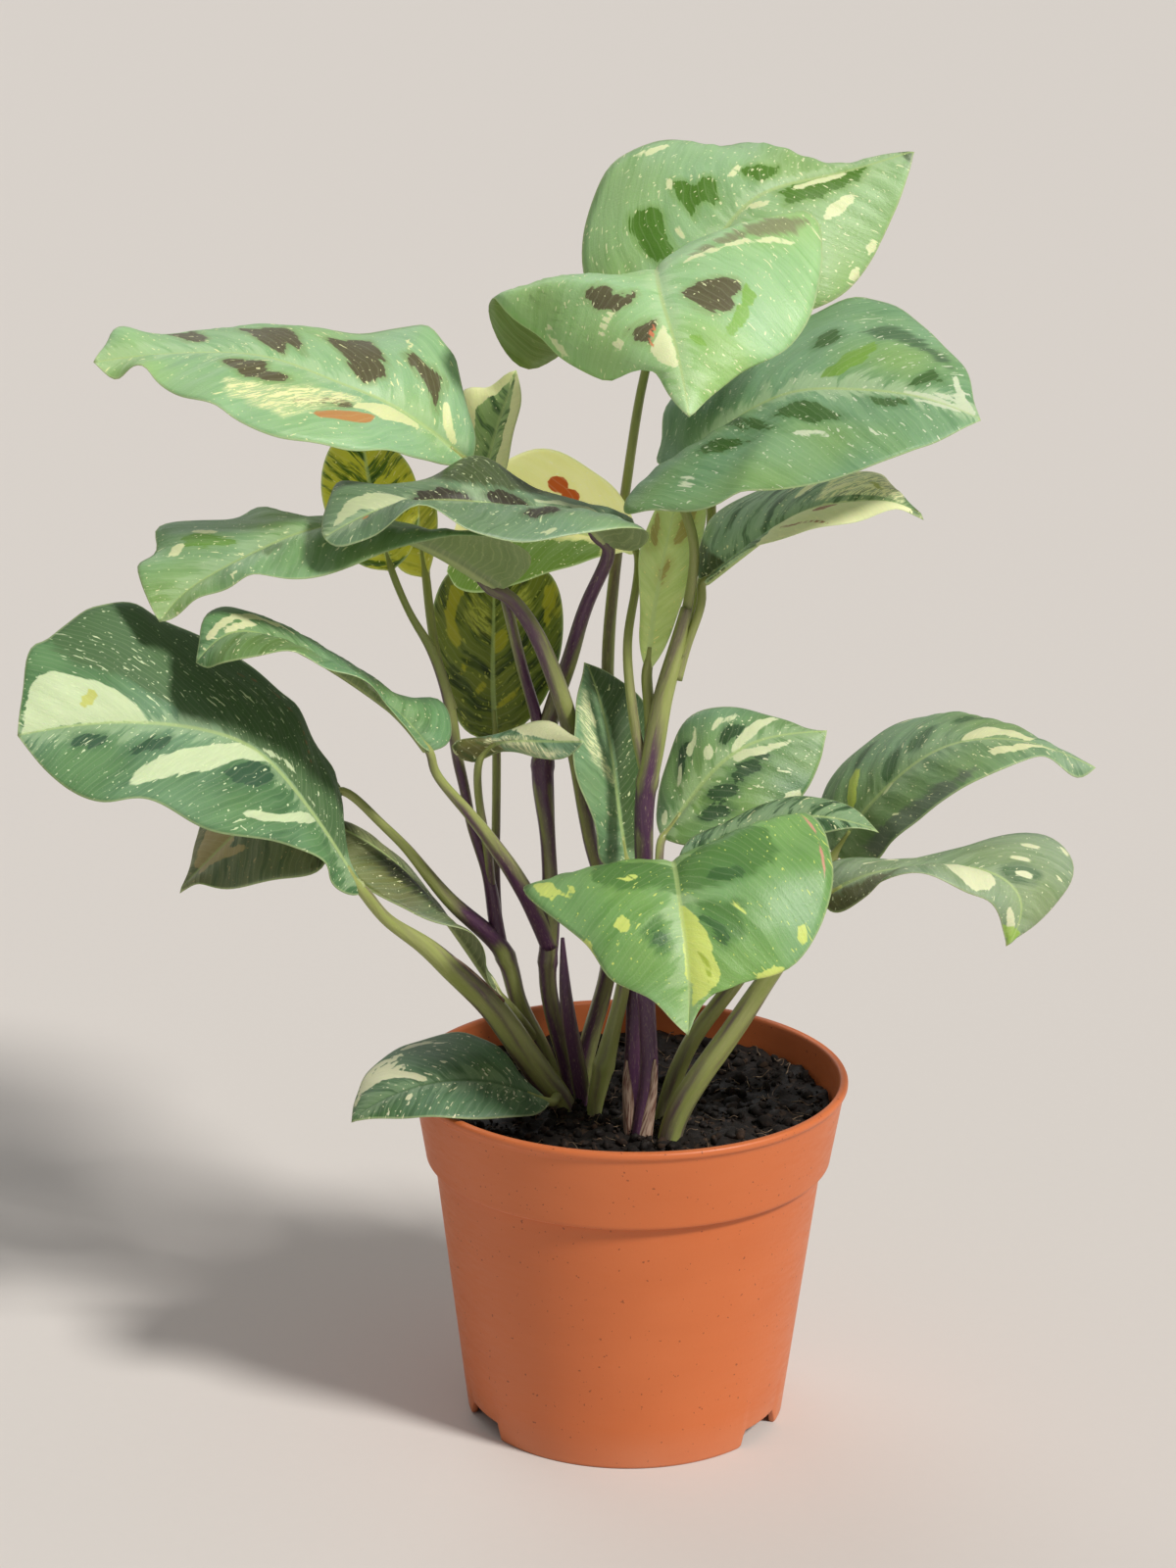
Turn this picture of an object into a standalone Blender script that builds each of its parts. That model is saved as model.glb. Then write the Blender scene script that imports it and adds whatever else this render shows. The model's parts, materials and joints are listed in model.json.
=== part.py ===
"""A variegated prayer plant in a round plastic nursery pot filled with dark potting soil.

Every blade hangs on three smooth curves: the midrib and its two margins. Their points were
read off by eye, in millimetres, from the middle of the pot's foot: +X is to the right,
-Y is towards the viewer and +Z is up. Stems are tapered tubes, joined where they branch.
"""

import bpy
import bmesh
import math
import numpy as np
from mathutils import Vector, noise

MM = 0.001

# Pot: a moulded plastic nursery pot of the 12 cm size.
POT_HEIGHT = 97.5
RIM_RADIUS = 60.0
BEAD_HEIGHT = 2.2
COLLAR_BOTTOM_Z = 74.2
COLLAR_BOTTOM_RADIUS = 55.8
BODY_TOP_RADIUS = 53.4
FOOT_RADIUS = 44.1
POT_WALL = 1.5
FLOOR_Z = 5.0
FLOOR_THICKNESS = 1.4
FLOOR_STEP_RADIUS = 21.0
FLOOR_SLOPE = 3.0
NOTCH_HEIGHT = 4.5
NOTCH_DIRECTIONS = (-62.7, 57.5, 177.5)
NOTCH_ANGLE = 23.0
DRAIN_RADIUS = 3.0
DRAIN_PITCH_RADIUS = 33.0
POT_SEGMENTS = 48
FAN_OFFSET = (1.6, 0.7)

# Soil: fills the pot to about one centimetre under the rim.
SOIL_LEVEL = 88.0
SOIL_BUMP = 1.6
SOIL_RINGS = 8
SOIL_SEGMENTS = 32
CLEARANCE = 0.3

# Blades and stems.
BLADE_THICKNESS = 0.8
BLADE_STEPS = 12
BLADE_COLUMNS = 3
STEM_DEPTH = 20.0
STEM_STEP = 9.5
STEM_SIDES = 8
HOLE_TOP_Z = 101.0
JOINT_GAP = 0.95
STALK_TIP_RADIUS = 0.65

PLASTIC = ("terracotta plastic", (0.62, 0.19, 0.06), 0.45)
EARTH = ("potting soil", (0.018, 0.013, 0.011), 0.95)
SILVER_GREEN = ("silver green leaf", (0.17, 0.33, 0.14), 0.42)
DEEP_GREEN = ("deep green leaf", (0.06, 0.17, 0.07), 0.42)
YELLOW_GREEN = ("yellow green leaf", (0.42, 0.46, 0.10), 0.45)
STEM_PURPLE = ("purple stem", (0.10, 0.045, 0.085), 0.5)
STEM_GREEN = ("green stem", (0.20, 0.24, 0.09), 0.5)

# Each blade: midrib from base to tip, then its left and right margin seen from above with
# the tip ahead. The margins leave out the base and the tip, which they share with the midrib.
LEAVES = {
    "leaf_crown_back": dict(
        rib=[(10, 27, 308), (21, 33, 321), (32, 38, 332), (51, 44, 337), (74, 49, 343)],
        left=[(-8, 31, 303), (-14, 36, 309), (-15, 41, 318), (-13, 48, 329), (-8, 53, 337.5),
              (-3, 55, 341), (6, 58, 344.5), (14, 60, 344), (24, 60, 343.5), (30, 60, 344.5),
              (38, 59, 340.5), (48, 56, 337.5), (62, 52, 341)],
        right=[(21, 23, 297), (38, 23, 301), (50, 26, 305), (59, 32, 311), (65, 38, 320),
               (70, 43, 331)],
        look=SILVER_GREEN),
    "leaf_crown_front": dict(
        rib=[(3, 9, 311), (4, -5, 318), (5, -23, 314), (9, -38, 302), (12, -47, 287)],
        left=[(14, 15, 319), (22, 16, 322.5), (30, 15, 326), (36, 12, 328.5), (42, 7, 331.5),
              (46, 3, 328.5), (46.5, -2, 324), (46, -9, 319), (43, -20, 309), (36, -30, 301),
              (26, -36, 297), (16, -43, 290)],
        right=[(-16, 15, 296), (-29, 13, 289), (-37, 9, 298), (-39, 6, 305), (-36, -7, 309.5),
               (-31, -11, 305), (-25, -17, 301.5), (-20, -22, 297.5), (-12, -27, 294),
               (-7, -30, 293.5), (-1, -33, 296), (4, -37, 296), (7, -42, 292.5)],
        bulge=(0.08, 0.13), look=SILVER_GREEN),
    "leaf_right_upper": dict(
        rib=[(9, -13, 268), (21, -15, 278), (37, -17, 288), (54, -20, 290), (70, -24, 289),
             (86, -29, 284)],
        left=[(5, -4, 268), (6, 1, 272), (8, 8, 281), (17, 13, 289.5), (30, 16, 296.5),
              (44, 17.5, 302.5), (50, 18, 305.5), (57, 17.5, 307.5), (62, 16, 307),
              (67, 13, 306), (72, 8, 303), (77, 1, 299.5), (81, -6, 296), (84.5, -16.5, 290.5)],
        right=[(2, -18, 265), (-3, -24, 262), (-3, -33, 260), (3, -38, 262), (13, -43.5, 263),
               (20, -46.5, 265.5), (25, -48, 269), (33, -49, 269.5), (46, -49, 272),
               (58, -47, 275.5), (70, -42, 279), (79, -36, 282)],
        look=SILVER_GREEN),
    "leaf_right_under": dict(
        rib=[(17, -13, 238), (29, -17, 248.5), (37, -19, 255), (45, -20.5, 259.5),
             (59, -23, 262), (66, -25, 261.5), (73, -27, 258.5)],
        left=[(15.5, -8, 240.5), (17, -3, 246), (22, 3, 254), (39, 9, 260.5), (60, 3, 264.5),
              (65, -6, 265), (69, -19, 262)],
        right=[(21, -21.5, 242.5), (29, -28, 250), (34.5, -31, 253), (42.5, -33, 256),
               (50, -33.5, 257.5), (58, -32.5, 259.5), (65, -30, 261.5), (69, -28.5, 260.5)],
        look=DEEP_GREEN),
    "leaf_left_upper": dict(
        rib=[(-43, -5, 267), (-63, -16, 284), (-78, -19, 291), (-96, -19, 297), (-122, -20, 297),
             (-138, -21, 295)],
        left=[(-48, -13, 268), (-56, -29, 273), (-62, -37, 276), (-69, -43, 277),
              (-78, -47, 279.5), (-90, -49.5, 282), (-99, -48, 285.5), (-104.5, -46, 289),
              (-112.5, -42, 290), (-121, -35, 293), (-124, -32, 295.5), (-128, -28.5, 294.5),
              (-132, -25.5, 291.5), (-136, -22.5, 293.5)],
        right=[(-42, -4, 274), (-44.5, -1, 281), (-48, 8, 291.5), (-51, 10.5, 295.5),
               (-55, 12.5, 299.5), (-60, 13.5, 299), (-73, 14, 297.5), (-80, 13.5, 298.5),
               (-97, 11.5, 300), (-107, 8.5, 299), (-120, 1, 299), (-127, -5, 300.5),
               (-132, -10, 302.5), (-134.5, -13, 301.5), (-136, -17, 298)],
        look=SILVER_GREEN),
    "leaf_behind_left": dict(
        rib=[(-41, 17, 255), (-38, 20, 269), (-32, 23, 287)],
        left=[(-47, 25, 260), (-49, 31, 270.5), (-46, 31, 280.5), (-41, 29, 280.5),
              (-36.5, 26, 283.5), (-34, 24, 286)],
        right=[(-35, 11, 261), (-32, 13, 273), (-30.5, 17, 280)],
        look=YELLOW_GREEN),
    "leaf_yellow": dict(
        rib=[(0, 3, 243), (-15, 9, 246), (-35, 13, 245), (-50, 6, 236)],
        left=[(-10, -4, 242), (-23, -4, 238), (-37, -2, 233), (-46, 1, 232)],
        right=[(-2, 13, 252), (-13, 23, 261), (-27, 27, 265), (-41, 27, 256), (-49, 17, 243)],
        look=YELLOW_GREEN),
    "leaf_middle_left": dict(
        rib=[(-7, -17, 248), (-16, -22, 257), (-30, -26, 260), (-47, -33, 263), (-63, -43, 263),
             (-78, -50, 256.5)],
        left=[(0, -25, 249), (2, -35, 256), (-13, -47, 258), (-28.5, -53, 257),
              (-41.5, -55, 259), (-48.5, -56.5, 264), (-54, -57, 266), (-59, -57.5, 263.5),
              (-64, -57, 260), (-70, -55.5, 256.5), (-74.5, -54, 255)],
        right=[(-1, -7, 253), (-19, -1, 257), (-31, -5, 263), (-43, -13, 270.5), (-51.5, -19, 267),
               (-58.5, -21.5, 265), (-66, -24, 265), (-75, -29.5, 266.5), (-77, -36, 264),
               (-79, -44, 259)],
        look=SILVER_GREEN),
    "leaf_left_middle": dict(
        rib=[(-35, -21, 237), (-46, -24, 245), (-61, -28, 253), (-79, -33, 256),
             (-99, -38, 249), (-114, -41, 240), (-120, -43, 233)],
        left=[(-29, -29, 243), (-28, -37, 251), (-45, -39, 255), (-59, -43, 253),
              (-67, -46, 250), (-77, -49.5, 247), (-87, -51, 246), (-95.5, -50.5, 247.5),
              (-102, -49, 243.5), (-110, -47, 240), (-116.5, -44.5, 234.5)],
        right=[(-39, -11, 243), (-53, -13, 251), (-68, -17, 254.5), (-81, -19, 255),
               (-88, -18.5, 254.5), (-95, -17, 257), (-99, -17, 256.5), (-103, -17, 254.5),
               (-119.5, -22, 253.5), (-123, -25, 252), (-123, -30, 248.5), (-126, -35, 246),
               (-125.5, -38, 243.5), (-123, -41, 238)],
        look=SILVER_GREEN),
    "leaf_yellow_green": dict(
        rib=[(-64, -3, 238), (-68, 3, 250), (-71, 9, 262), (-73, 15, 274)],
        left=[(-73, -3, 240), (-81, 1, 251), (-83, 7, 261), (-80, 13, 270)],
        right=[(-59, -1, 243), (-57, 5, 254), (-60, 11, 263), (-66, 15, 270)],
        look=YELLOW_GREEN),
    "leaf_yellow_inner": dict(
        rib=[(-56, 16, 232), (-58, 22, 243), (-59, 27, 254)],
        left=[(-63, 17, 234), (-66, 22, 243), (-63, 27, 250)],
        right=[(-54, 17, 237), (-53, 22, 246), (-55, 27, 252)],
        look=YELLOW_GREEN),
    "leaf_left_big": dict(
        rib=[(-70, -29, 158), (-79, -33, 174), (-88, -40, 190), (-97, -45, 201),
             (-110, -49, 207), (-132, -55, 210), (-154, -61, 208)],
        left=[(-72.5, -31, 157.5), (-77, -36, 161), (-79, -40.5, 166.5), (-81, -43.5, 171),
              (-90.5, -51.5, 178), (-102.5, -58.5, 182), (-110, -61.5, 185.5), (-122, -65, 193),
              (-130.5, -66.5, 192.5), (-138.5, -67, 194.5), (-146.5, -66, 200.5)],
        right=[(-71, -27, 159), (-74.5, -22, 163), (-76, -19.5, 170), (-76, -17.5, 179),
               (-77, -17, 184), (-78.5, -16.5, 188), (-83, -16, 194), (-87.5, -16, 204.5),
               (-91, -16.5, 208), (-99, -17, 214.5), (-113.5, -20, 224), (-124, -24.5, 230),
               (-129, -28, 234), (-136, -32.5, 235), (-141, -36, 234), (-149, -44, 228),
               (-152, -47, 227), (-153.5, -57.5, 214.5)],
        look=SILVER_GREEN),
    "leaf_left_narrow": dict(
        rib=[(-53, -25, 195), (-60, -29, 205), (-70, -35, 215), (-86, -43, 227),
             (-101, -49, 232), (-110, -53, 225)],
        left=[(-54, -33, 198), (-61, -43, 209), (-67, -51, 219), (-77, -57, 225),
              (-87, -61, 230), (-99, -61, 228), (-107, -57, 225)],
        right=[(-48, -19, 197), (-51, -13, 205), (-60, -13, 206), (-76, -17, 217),
               (-90, -25, 227), (-103, -35, 236), (-109, -45, 233)],
        look=DEEP_GREEN),
    "leaf_left_low": dict(
        rib=[(-33, 5, 115), (-44, 3, 132), (-55, 1, 148), (-68, -1, 161), (-82, -3, 169)],
        left=[(-37, 0, 121), (-41, -5, 136), (-50, -9, 142), (-61, -11, 148), (-71, -11, 153),
              (-80, -8, 162)],
        right=[(-37, 6, 122), (-46, 8, 133), (-56, 10, 145), (-65, 10, 156), (-75, 4, 167)],
        look=DEEP_GREEN),
    "leaf_left_behind": dict(
        rib=[(-77, -7, 179), (-90, -9, 178), (-104, -13, 170), (-120, -19, 154)],
        left=[(-79, -18, 171), (-82, -23, 162), (-93, -26, 160), (-107, -25, 157),
              (-114, -23, 158)],
        right=[(-85, 2, 184), (-99, 7, 179), (-115, 1, 170), (-118, -12, 160)],
        look=DEEP_GREEN),
    "leaf_on_rim": dict(
        rib=[(-21, -19, 96), (-37, -23, 103), (-53, -27, 104), (-65, -31, 101), (-74, -35, 96)],
        left=[(-25, -29, 96), (-34, -35, 97), (-49, -39, 98.4), (-63, -38, 98)],
        right=[(-28, -16, 101), (-36, -9, 107), (-46, -3, 109), (-56, -3, 108), (-66, -9, 105),
               (-73, -21, 100)],
        look=DEEP_GREEN),
    "leaf_backlit": dict(
        rib=[(-37, 15, 187), (-38, 17, 202), (-38, 21, 217), (-38, 27, 234)],
        left=[(-46, 17, 190), (-52, 21, 204), (-55, 26, 220), (-49, 30, 231)],
        right=[(-28, 15, 193), (-22, 18, 203), (-19, 23, 218), (-24, 29, 231)],
        look=YELLOW_GREEN),
    "leaf_small_front": dict(
        rib=[(-41, -7, 187), (-37, -10, 193), (-26, -17, 196), (-13, -25, 198)],
        left=[(-46, -6, 188), (-48, -7, 192), (-40, -6, 194), (-30, -9, 197), (-22, -13, 200),
              (-17, -20, 199)],
        right=[(-36, -9, 190), (-26, -19, 192), (-18, -23, 193)],
        look=DEEP_GREEN),
    "leaf_centre": dict(
        rib=[(-1, -9, 159), (-4, -9, 177), (-6, -7, 191), (-9, -3, 203), (-13, 1, 213)],
        left=[(-8, -15, 162), (-10, -19, 173), (-14, -21, 185), (-16, -19, 195), (-15, -9, 207)],
        right=[(2, -3, 162), (3, 1, 174), (5, 4, 191), (1, 4, 203), (-7, 3, 210)],
        look=DEEP_GREEN),
    "leaf_centre_right": dict(
        rib=[(8, 5, 163), (15, 9, 172), (24, 13, 182), (36, 17, 188), (53, 21, 189)],
        left=[(6.5, 13, 168), (9.5, 21, 179), (16, 27, 191), (33, 29, 192), (47, 25, 189)],
        right=[(16, 1, 162), (29, 2, 164), (42, 7, 170), (49, 13, 178), (52, 18, 185)],
        look=SILVER_GREEN),
    "leaf_front": dict(
        rib=[(8, -25, 158), (10, -35, 169), (12, -53, 161), (14, -62, 147), (14, -65, 132)],
        left=[(23, -19, 161), (38, -21, 173), (44.5, -23, 179), (49, -28, 176),
              (50.5, -38, 172.5), (51, -44, 168), (49, -50.5, 160.5), (47, -53.5, 156.5),
              (43, -56.5, 151), (38, -59.5, 147.5), (27, -63, 145), (22, -64, 144),
              (18.5, -64.5, 141), (15.5, -65, 136)],
        right=[(-3, -27, 157), (-17, -27, 160), (-28, -35, 161), (-21, -49, 158),
               (-12, -57, 153), (-8.5, -59, 149), (-5, -61.5, 145), (3.5, -64.5, 142),
               (8.5, -66, 138)],
        bulge=(0.09, 0.09), look=SILVER_GREEN),
    "leaf_streaked": dict(
        rib=[(12, -11, 161), (30, -11, 170), (48, -13, 175), (65, -17, 172)],
        left=[(15, -5, 165), (32, 0, 173), (45, -1, 177), (55, -6, 177), (61, -12, 174)],
        right=[(22, -15, 160), (37, -19, 168), (53, -19, 173)],
        look=SILVER_GREEN),
    "leaf_right_high": dict(
        rib=[(54, -3, 161), (61, -5, 173), (71, -7, 185), (84, -9, 194), (103, -13, 196),
             (121, -17, 190)],
        left=[(51, 7, 167), (53, 17, 175), (63, 23, 185), (76, 24, 192), (90, 19, 195),
              (103, 5, 194), (114, -7, 191)],
        right=[(63, -11, 161), (69, -19, 170), (78, -23, 180), (87, -25, 188), (98, -23, 192),
               (108, -20, 194), (116, -19, 188)],
        look=DEEP_GREEN),
    "leaf_right_low": dict(
        rib=[(49, -31, 158), (62, -37, 167), (76, -41, 170), (91, -45, 170), (99, -47, 163),
             (96, -49, 151)],
        left=[(50, -23, 164), (58, -21, 166), (76, -23, 166), (91, -23, 171), (106, -27, 175),
              (114, -34, 169), (110, -40, 162), (102, -45, 155)],
        right=[(52, -37, 156), (59, -45, 162), (64, -53, 170), (74, -57, 173), (84, -57, 168),
               (90, -55, 165), (94, -52, 158)],
        look=DEEP_GREEN),
    "leaf_new": dict(
        rib=[(3, -13, 213), (5, -11, 231), (8, -8, 248), (11, -5, 261)],
        left=[(1, -11, 221), (1, -9, 235), (2, -4, 247), (6, -1, 257)],
        right=[(7, -13, 219), (13, -11, 235), (18, -6, 253), (17, -3, 259)],
        look=YELLOW_GREEN),
}

# Each shoot: a first stalk that stands in the soil, then the stalks that leave it. A point
# is x, y, z and the radius there. A leaf's name at the end carries the stalk to that blade.
SHOOTS = {
    "shoot_left_low": dict(look=STEM_GREEN, stalks=[
        ([(-18, -4, 88, 3.6), (-24, -5, 98, 3.8), (-37, -10, 119, 3.6), (-47, -15, 131, 3.2),
          (-56, -20, 141, 2.4), (-65, -24, 149, 1.7)], "leaf_left_big"),
        ([(-19, -4, 91, 1.6), (-20, -11, 94, 1.3)], "leaf_on_rim")]),
    "shoot_left_high": dict(look=STEM_PURPLE, stalks=[
        ([(-21, 14, 88, 2.7), (-26, 13, 103, 2.4), (-31, 11, 115, 2.4), (-35, 9, 129, 2.6),
          (-48, 1, 145, 2.1), (-60, -5, 162, 1.4), (-68, -7, 171, 1.2)], "leaf_left_behind"),
        ([(-35, 9, 128, 1.9), (-37, 8, 139, 2.0), (-39, 6, 152, 1.6), (-43, 3, 166, 1.4),
          (-45, 1, 177, 1.4), (-47, 0, 187, 1.5), (-49, -1, 201, 1.5), (-54, -2, 217, 1.3),
          (-59, -3, 226, 1.0)], "leaf_yellow_green"),
        ([(-48, -1, 200, 1.2), (-53, 5, 215, 1.2)], "leaf_yellow_inner"),
        ([(-36, 9, 133, 1.3), (-37, 12, 148, 1.3), (-37, 14, 163, 1.2)], "leaf_backlit"),
        ([(-38, 7, 147, 1.3), (-39, 3, 160, 1.2), (-41, -1, 174, 1.1)],
         "leaf_small_front"),
        ([(-25, 13, 101, 1.4), (-29, 9, 108, 1.3)], "leaf_left_low")]),
    "shoot_centre": dict(look=STEM_PURPLE, stalks=[
        ([(-15, 9, 88, 2.9), (-19.5, 8, 106, 2.5), (-22.5, 6, 122, 2.4), (-22, 5, 136, 2.6),
          (-22, 5, 150, 2.2), (-23, 5, 166, 2.2), (-24, 5, 177, 2.9), (-24, 5, 187, 2.8),
          (-21, 1, 202, 2.3), (-17, -3, 215, 2.1), (-12, -10, 233, 1.8)], "leaf_middle_left"),
        ([(-24, 5, 183, 1.9), (-26, 3, 197, 1.6), (-29, -1, 209, 1.5), (-33, -9, 228, 1.4),
          (-38, -6, 246, 1.3), (-42, 0, 258, 1.2)], "leaf_left_upper"),
        ([(-33, -9, 229, 1.2), (-38, -3, 240, 1.1), (-42, 7, 249, 1.1)],
         "leaf_behind_left"),
        ([(-22, 5, 132, 2.6), (-27, 1, 145, 2.5), (-34, -7, 160, 2.2), (-45, -17, 178, 1.5),
          (-52, -22, 189, 1.2)], "leaf_left_narrow")]),
    "shoot_sheath": dict(look=STEM_PURPLE, stalks=[
        ([(-12.5, 1, 88, 2.3), (-15.5, 1, 106, 2.2), (-17.5, 0, 120, 1.7), (-18.5, 0, 136, 0.5)],
         None)]),
    "shoot_left_middle": dict(look=STEM_PURPLE, stalks=[
        ([(-13, 17, 88, 2.6), (-10, 17, 104, 2.5), (-6, 16, 121, 2.3), (-6, 13, 142, 2.0),
          (-10, 9, 156, 1.9), (-14, 1, 180, 2.2), (-17, -8, 198, 2.5), (-25, -14, 222, 2.2),
          (-32, -19, 234, 1.9)], "leaf_left_middle")]),
    "shoot_inner": dict(look=STEM_GREEN, stalks=[
        ([(-9.5, -7, 88, 2.0), (-7, -6, 101, 2.7), (-4.5, -5, 112, 2.2), (-2, -5, 124, 1.9),
          (-1, -7, 140, 1.4)], "leaf_centre")]),
    "shoot_crown": dict(look=STEM_PURPLE, stalks=[
        ([(0.5, -4, 88, 2.3), (1, -2, 117, 2.0), (-1, 4, 149, 1.8), (-5, 7, 176, 1.7),
          (-7, 10, 206, 1.7), (-6, 16, 227, 1.6), (-4, 20, 245, 1.4), (-2, 16, 262, 1.3),
          (1, 7, 285, 1.2), (3, 5, 298, 1.1)], "leaf_crown_front")]),
    "shoot_right": dict(look=STEM_PURPLE, stalks=[
        ([(3, -24, 88, 2.6), (5, -22, 103, 2.4), (4, -20, 127, 2.3), (3, -20, 163, 2.4),
          (3, -20, 181, 2.6), (5, -20, 195, 2.8), (7, -19, 207, 2.6), (10, -18, 219, 2.2),
          (13, -17, 232, 1.4)], None),
        ([(11, -18, 213, 1.3), (14, -17, 224, 1.2), (17, -15, 234, 1.2)], "leaf_right_under"),
        ([(4, -20, 185, 1.6), (1, -19, 196, 1.4), (-1, -17, 208, 1.3), (-2, -13, 222, 1.2),
          (0, -5, 234, 1.1)], "leaf_yellow"),
        ([(4, -19, 190, 1.7), (4, -17, 203, 1.5)], "leaf_new"),
        ([(11, -18, 219, 1.4), (14, -15, 236, 1.3), (14, -14, 252, 1.3)], "leaf_right_upper"),
        ([(12, -18, 219, 1.3), (17, -3, 234, 1.3), (20, 11, 252, 1.3), (15, 25, 278, 1.2),
          (8, 34, 298, 1.1)],
         "leaf_crown_back"),
        ([(3, -20, 145, 1.4), (7, -7, 155, 1.2)], "leaf_centre_right"),
        ([(4, -20, 127, 1.8), (8, -22, 142, 1.6)], "leaf_front"),
        ([(4, -20, 135, 1.4), (11, -14, 147, 1.2)], "leaf_streaked")]),
    "shoot_right_low": dict(look=STEM_GREEN, stalks=[
        ([(11, -23, 88, 3.2), (17, -24, 103, 3.2), (27, -25, 119, 3.0), (35, -27, 133, 2.6),
          (44, -29, 148, 1.8)], "leaf_right_low")]),
    "shoot_right_high": dict(look=STEM_GREEN, stalks=[
        ([(9.5, -10, 88, 2.4), (16.5, -8, 109, 2.3), (26, -7, 123, 2.2), (39, -5, 142, 1.8),
          (48, -3, 154, 1.5)], "leaf_right_high")]),
}


def material(look):
    name, colour, roughness = look
    found = bpy.data.materials.get(name)
    if found:
        return found
    made = bpy.data.materials.new(name)
    made.use_nodes = True
    shader = made.node_tree.nodes["Principled BSDF"]
    shader.inputs["Base Color"].default_value = (*colour, 1.0)
    shader.inputs["Roughness"].default_value = roughness
    shader.inputs["Metallic"].default_value = 0.0
    made.diffuse_color = (*colour, 1.0)
    return made


def add_object(name, points, faces, look, smooth=True):
    """Makes a mesh object from points in millimetres."""
    mesh = bpy.data.meshes.new(name)
    mesh.from_pydata([Vector(p) * MM for p in points], [], faces)
    mesh.update()
    bm = bmesh.new()
    bm.from_mesh(mesh)
    bmesh.ops.recalc_face_normals(bm, faces=bm.faces)
    bm.to_mesh(mesh)
    bm.free()
    mesh.polygons.foreach_set("use_smooth", [smooth] * len(mesh.polygons))
    mesh.materials.append(material(look))
    obj = bpy.data.objects.new(name, mesh)
    bpy.context.scene.collection.objects.link(obj)
    return obj


def as_helper(obj):
    obj.hide_render = True
    obj.display_type = "WIRE"
    return obj


def combine(obj, helper, operation):
    modifier = obj.modifiers.new(f"{operation.lower()} {helper.name}", "BOOLEAN")
    modifier.operation = operation
    modifier.solver = "EXACT"
    modifier.object = as_helper(helper)


def smooth_curve(points):
    """A natural cubic spline through the points. The first three columns give its speed."""
    p = np.asarray(points, float)
    gaps = np.linalg.norm(np.diff(p[:, :3], axis=0), axis=1) ** 0.5
    knots = np.concatenate([[0.0], np.cumsum(gaps)])
    last = len(p) - 1
    system = np.zeros((last + 1, last + 1))
    target = np.zeros_like(p)
    system[0, 0] = system[last, last] = 1.0
    for i in range(1, last):
        before, after = gaps[i - 1], gaps[i]
        system[i, i - 1:i + 2] = before, 2 * (before + after), after
        target[i] = 3 * ((p[i + 1] - p[i]) / after - (p[i] - p[i - 1]) / before)
    bend = np.linalg.solve(system, target)

    def at(x):
        i = np.clip(np.searchsorted(knots, x, side="right") - 1, 0, last - 1)
        s, h = (x - knots[i])[:, None], gaps[i][:, None]
        slope = (p[i + 1] - p[i]) / h - h * (2 * bend[i] + bend[i + 1]) / 3
        return p[i] + slope * s + bend[i] * s**2 + (bend[i + 1] - bend[i]) / (3 * h) * s**3

    return at, knots[-1]


def even_points(points, count=None, step=None):
    """Points at equal distances along the smooth curve through the given points."""
    at, end = smooth_curve(points)
    x = np.linspace(0, end, 400)
    fine = at(x)
    run = np.linalg.norm(np.diff(fine[:, :3], axis=0), axis=1)
    length = np.concatenate([[0.0], np.cumsum(run)])
    if count is None:
        count = max(3, int(round(length[-1] / step)))
    return at(np.interp(np.linspace(0, length[-1], count + 1), length, x))


def unit_rows(vectors):
    size = np.linalg.norm(vectors, axis=-1, keepdims=True)
    return vectors / np.maximum(size, 1e-9)


def blade_grid(leaf):
    """Rows from base to tip, each running from the right margin over the midrib to the left."""
    base, tip = leaf["rib"][0], leaf["rib"][-1]
    rib = even_points(leaf["rib"], BLADE_STEPS)
    left = even_points([base, *leaf["left"], tip], BLADE_STEPS)
    right = even_points([base, *leaf["right"], tip], BLADE_STEPS)
    up = unit_rows(np.cross(np.gradient(rib, axis=0), left - right))
    up[0], up[-1] = up[1], up[-2]
    bulge_left, bulge_right = leaf.get("bulge", (0.07, 0.07))
    columns = []
    for margin, bulge, shares in (
            (right, bulge_right, range(BLADE_COLUMNS, 0, -1)),
            (left, bulge_left, range(BLADE_COLUMNS + 1))):
        reach = np.linalg.norm(margin - rib, axis=1)[:, None]
        for share in shares:
            v = share / BLADE_COLUMNS
            columns.append(rib + (margin - rib) * v + up * reach * bulge * 4 * v * (1 - v))
    return np.stack(columns, axis=1)


def grid_normals(grid):
    normals = unit_rows(np.cross(np.gradient(grid, axis=0), np.gradient(grid, axis=1)))
    normals[0] = unit_rows(normals[1].mean(axis=0))
    normals[-1] = unit_rows(normals[-2].mean(axis=0))
    return normals


def add_leaf(name, leaf):
    """A closed blade: both faces split alike, the base and the tip one point on each face."""
    grid = blade_grid(leaf)
    offset = grid_normals(grid) * BLADE_THICKNESS / 2
    rows, columns = grid.shape[:2]
    points, faces = [], []

    def side(shell):
        first = len(points)
        points.append(shell[0, 0])
        points.extend(shell[1:-1].reshape(-1, 3))
        points.append(shell[-1, 0])

        def index(i, j):
            if i == 0:
                return first
            if i == rows - 1:
                return first + 1 + (rows - 2) * columns
            return first + 1 + (i - 1) * columns + j
        return index

    top, under = side(grid + offset), side(grid - offset)
    for i in range(rows - 1):
        for j in range(columns - 1):
            corners = [(i, j), (i + 1, j), (i + 1, j + 1), (i, j + 1)]
            for three in ((0, 1, 2), (0, 2, 3)):
                face = [corners[k] for k in three]
                if len({top(*c) for c in face}) == 3:
                    faces.append([top(*c) for c in face])
                    faces.append([under(*c) for c in reversed(face)])
        for j in (0, columns - 1):
            faces.append([top(i, j), under(i, j), under(i + 1, j)])
            faces.append([top(i, j), under(i + 1, j), top(i + 1, j)])
    return add_object(name, points, faces, leaf["look"])


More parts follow.
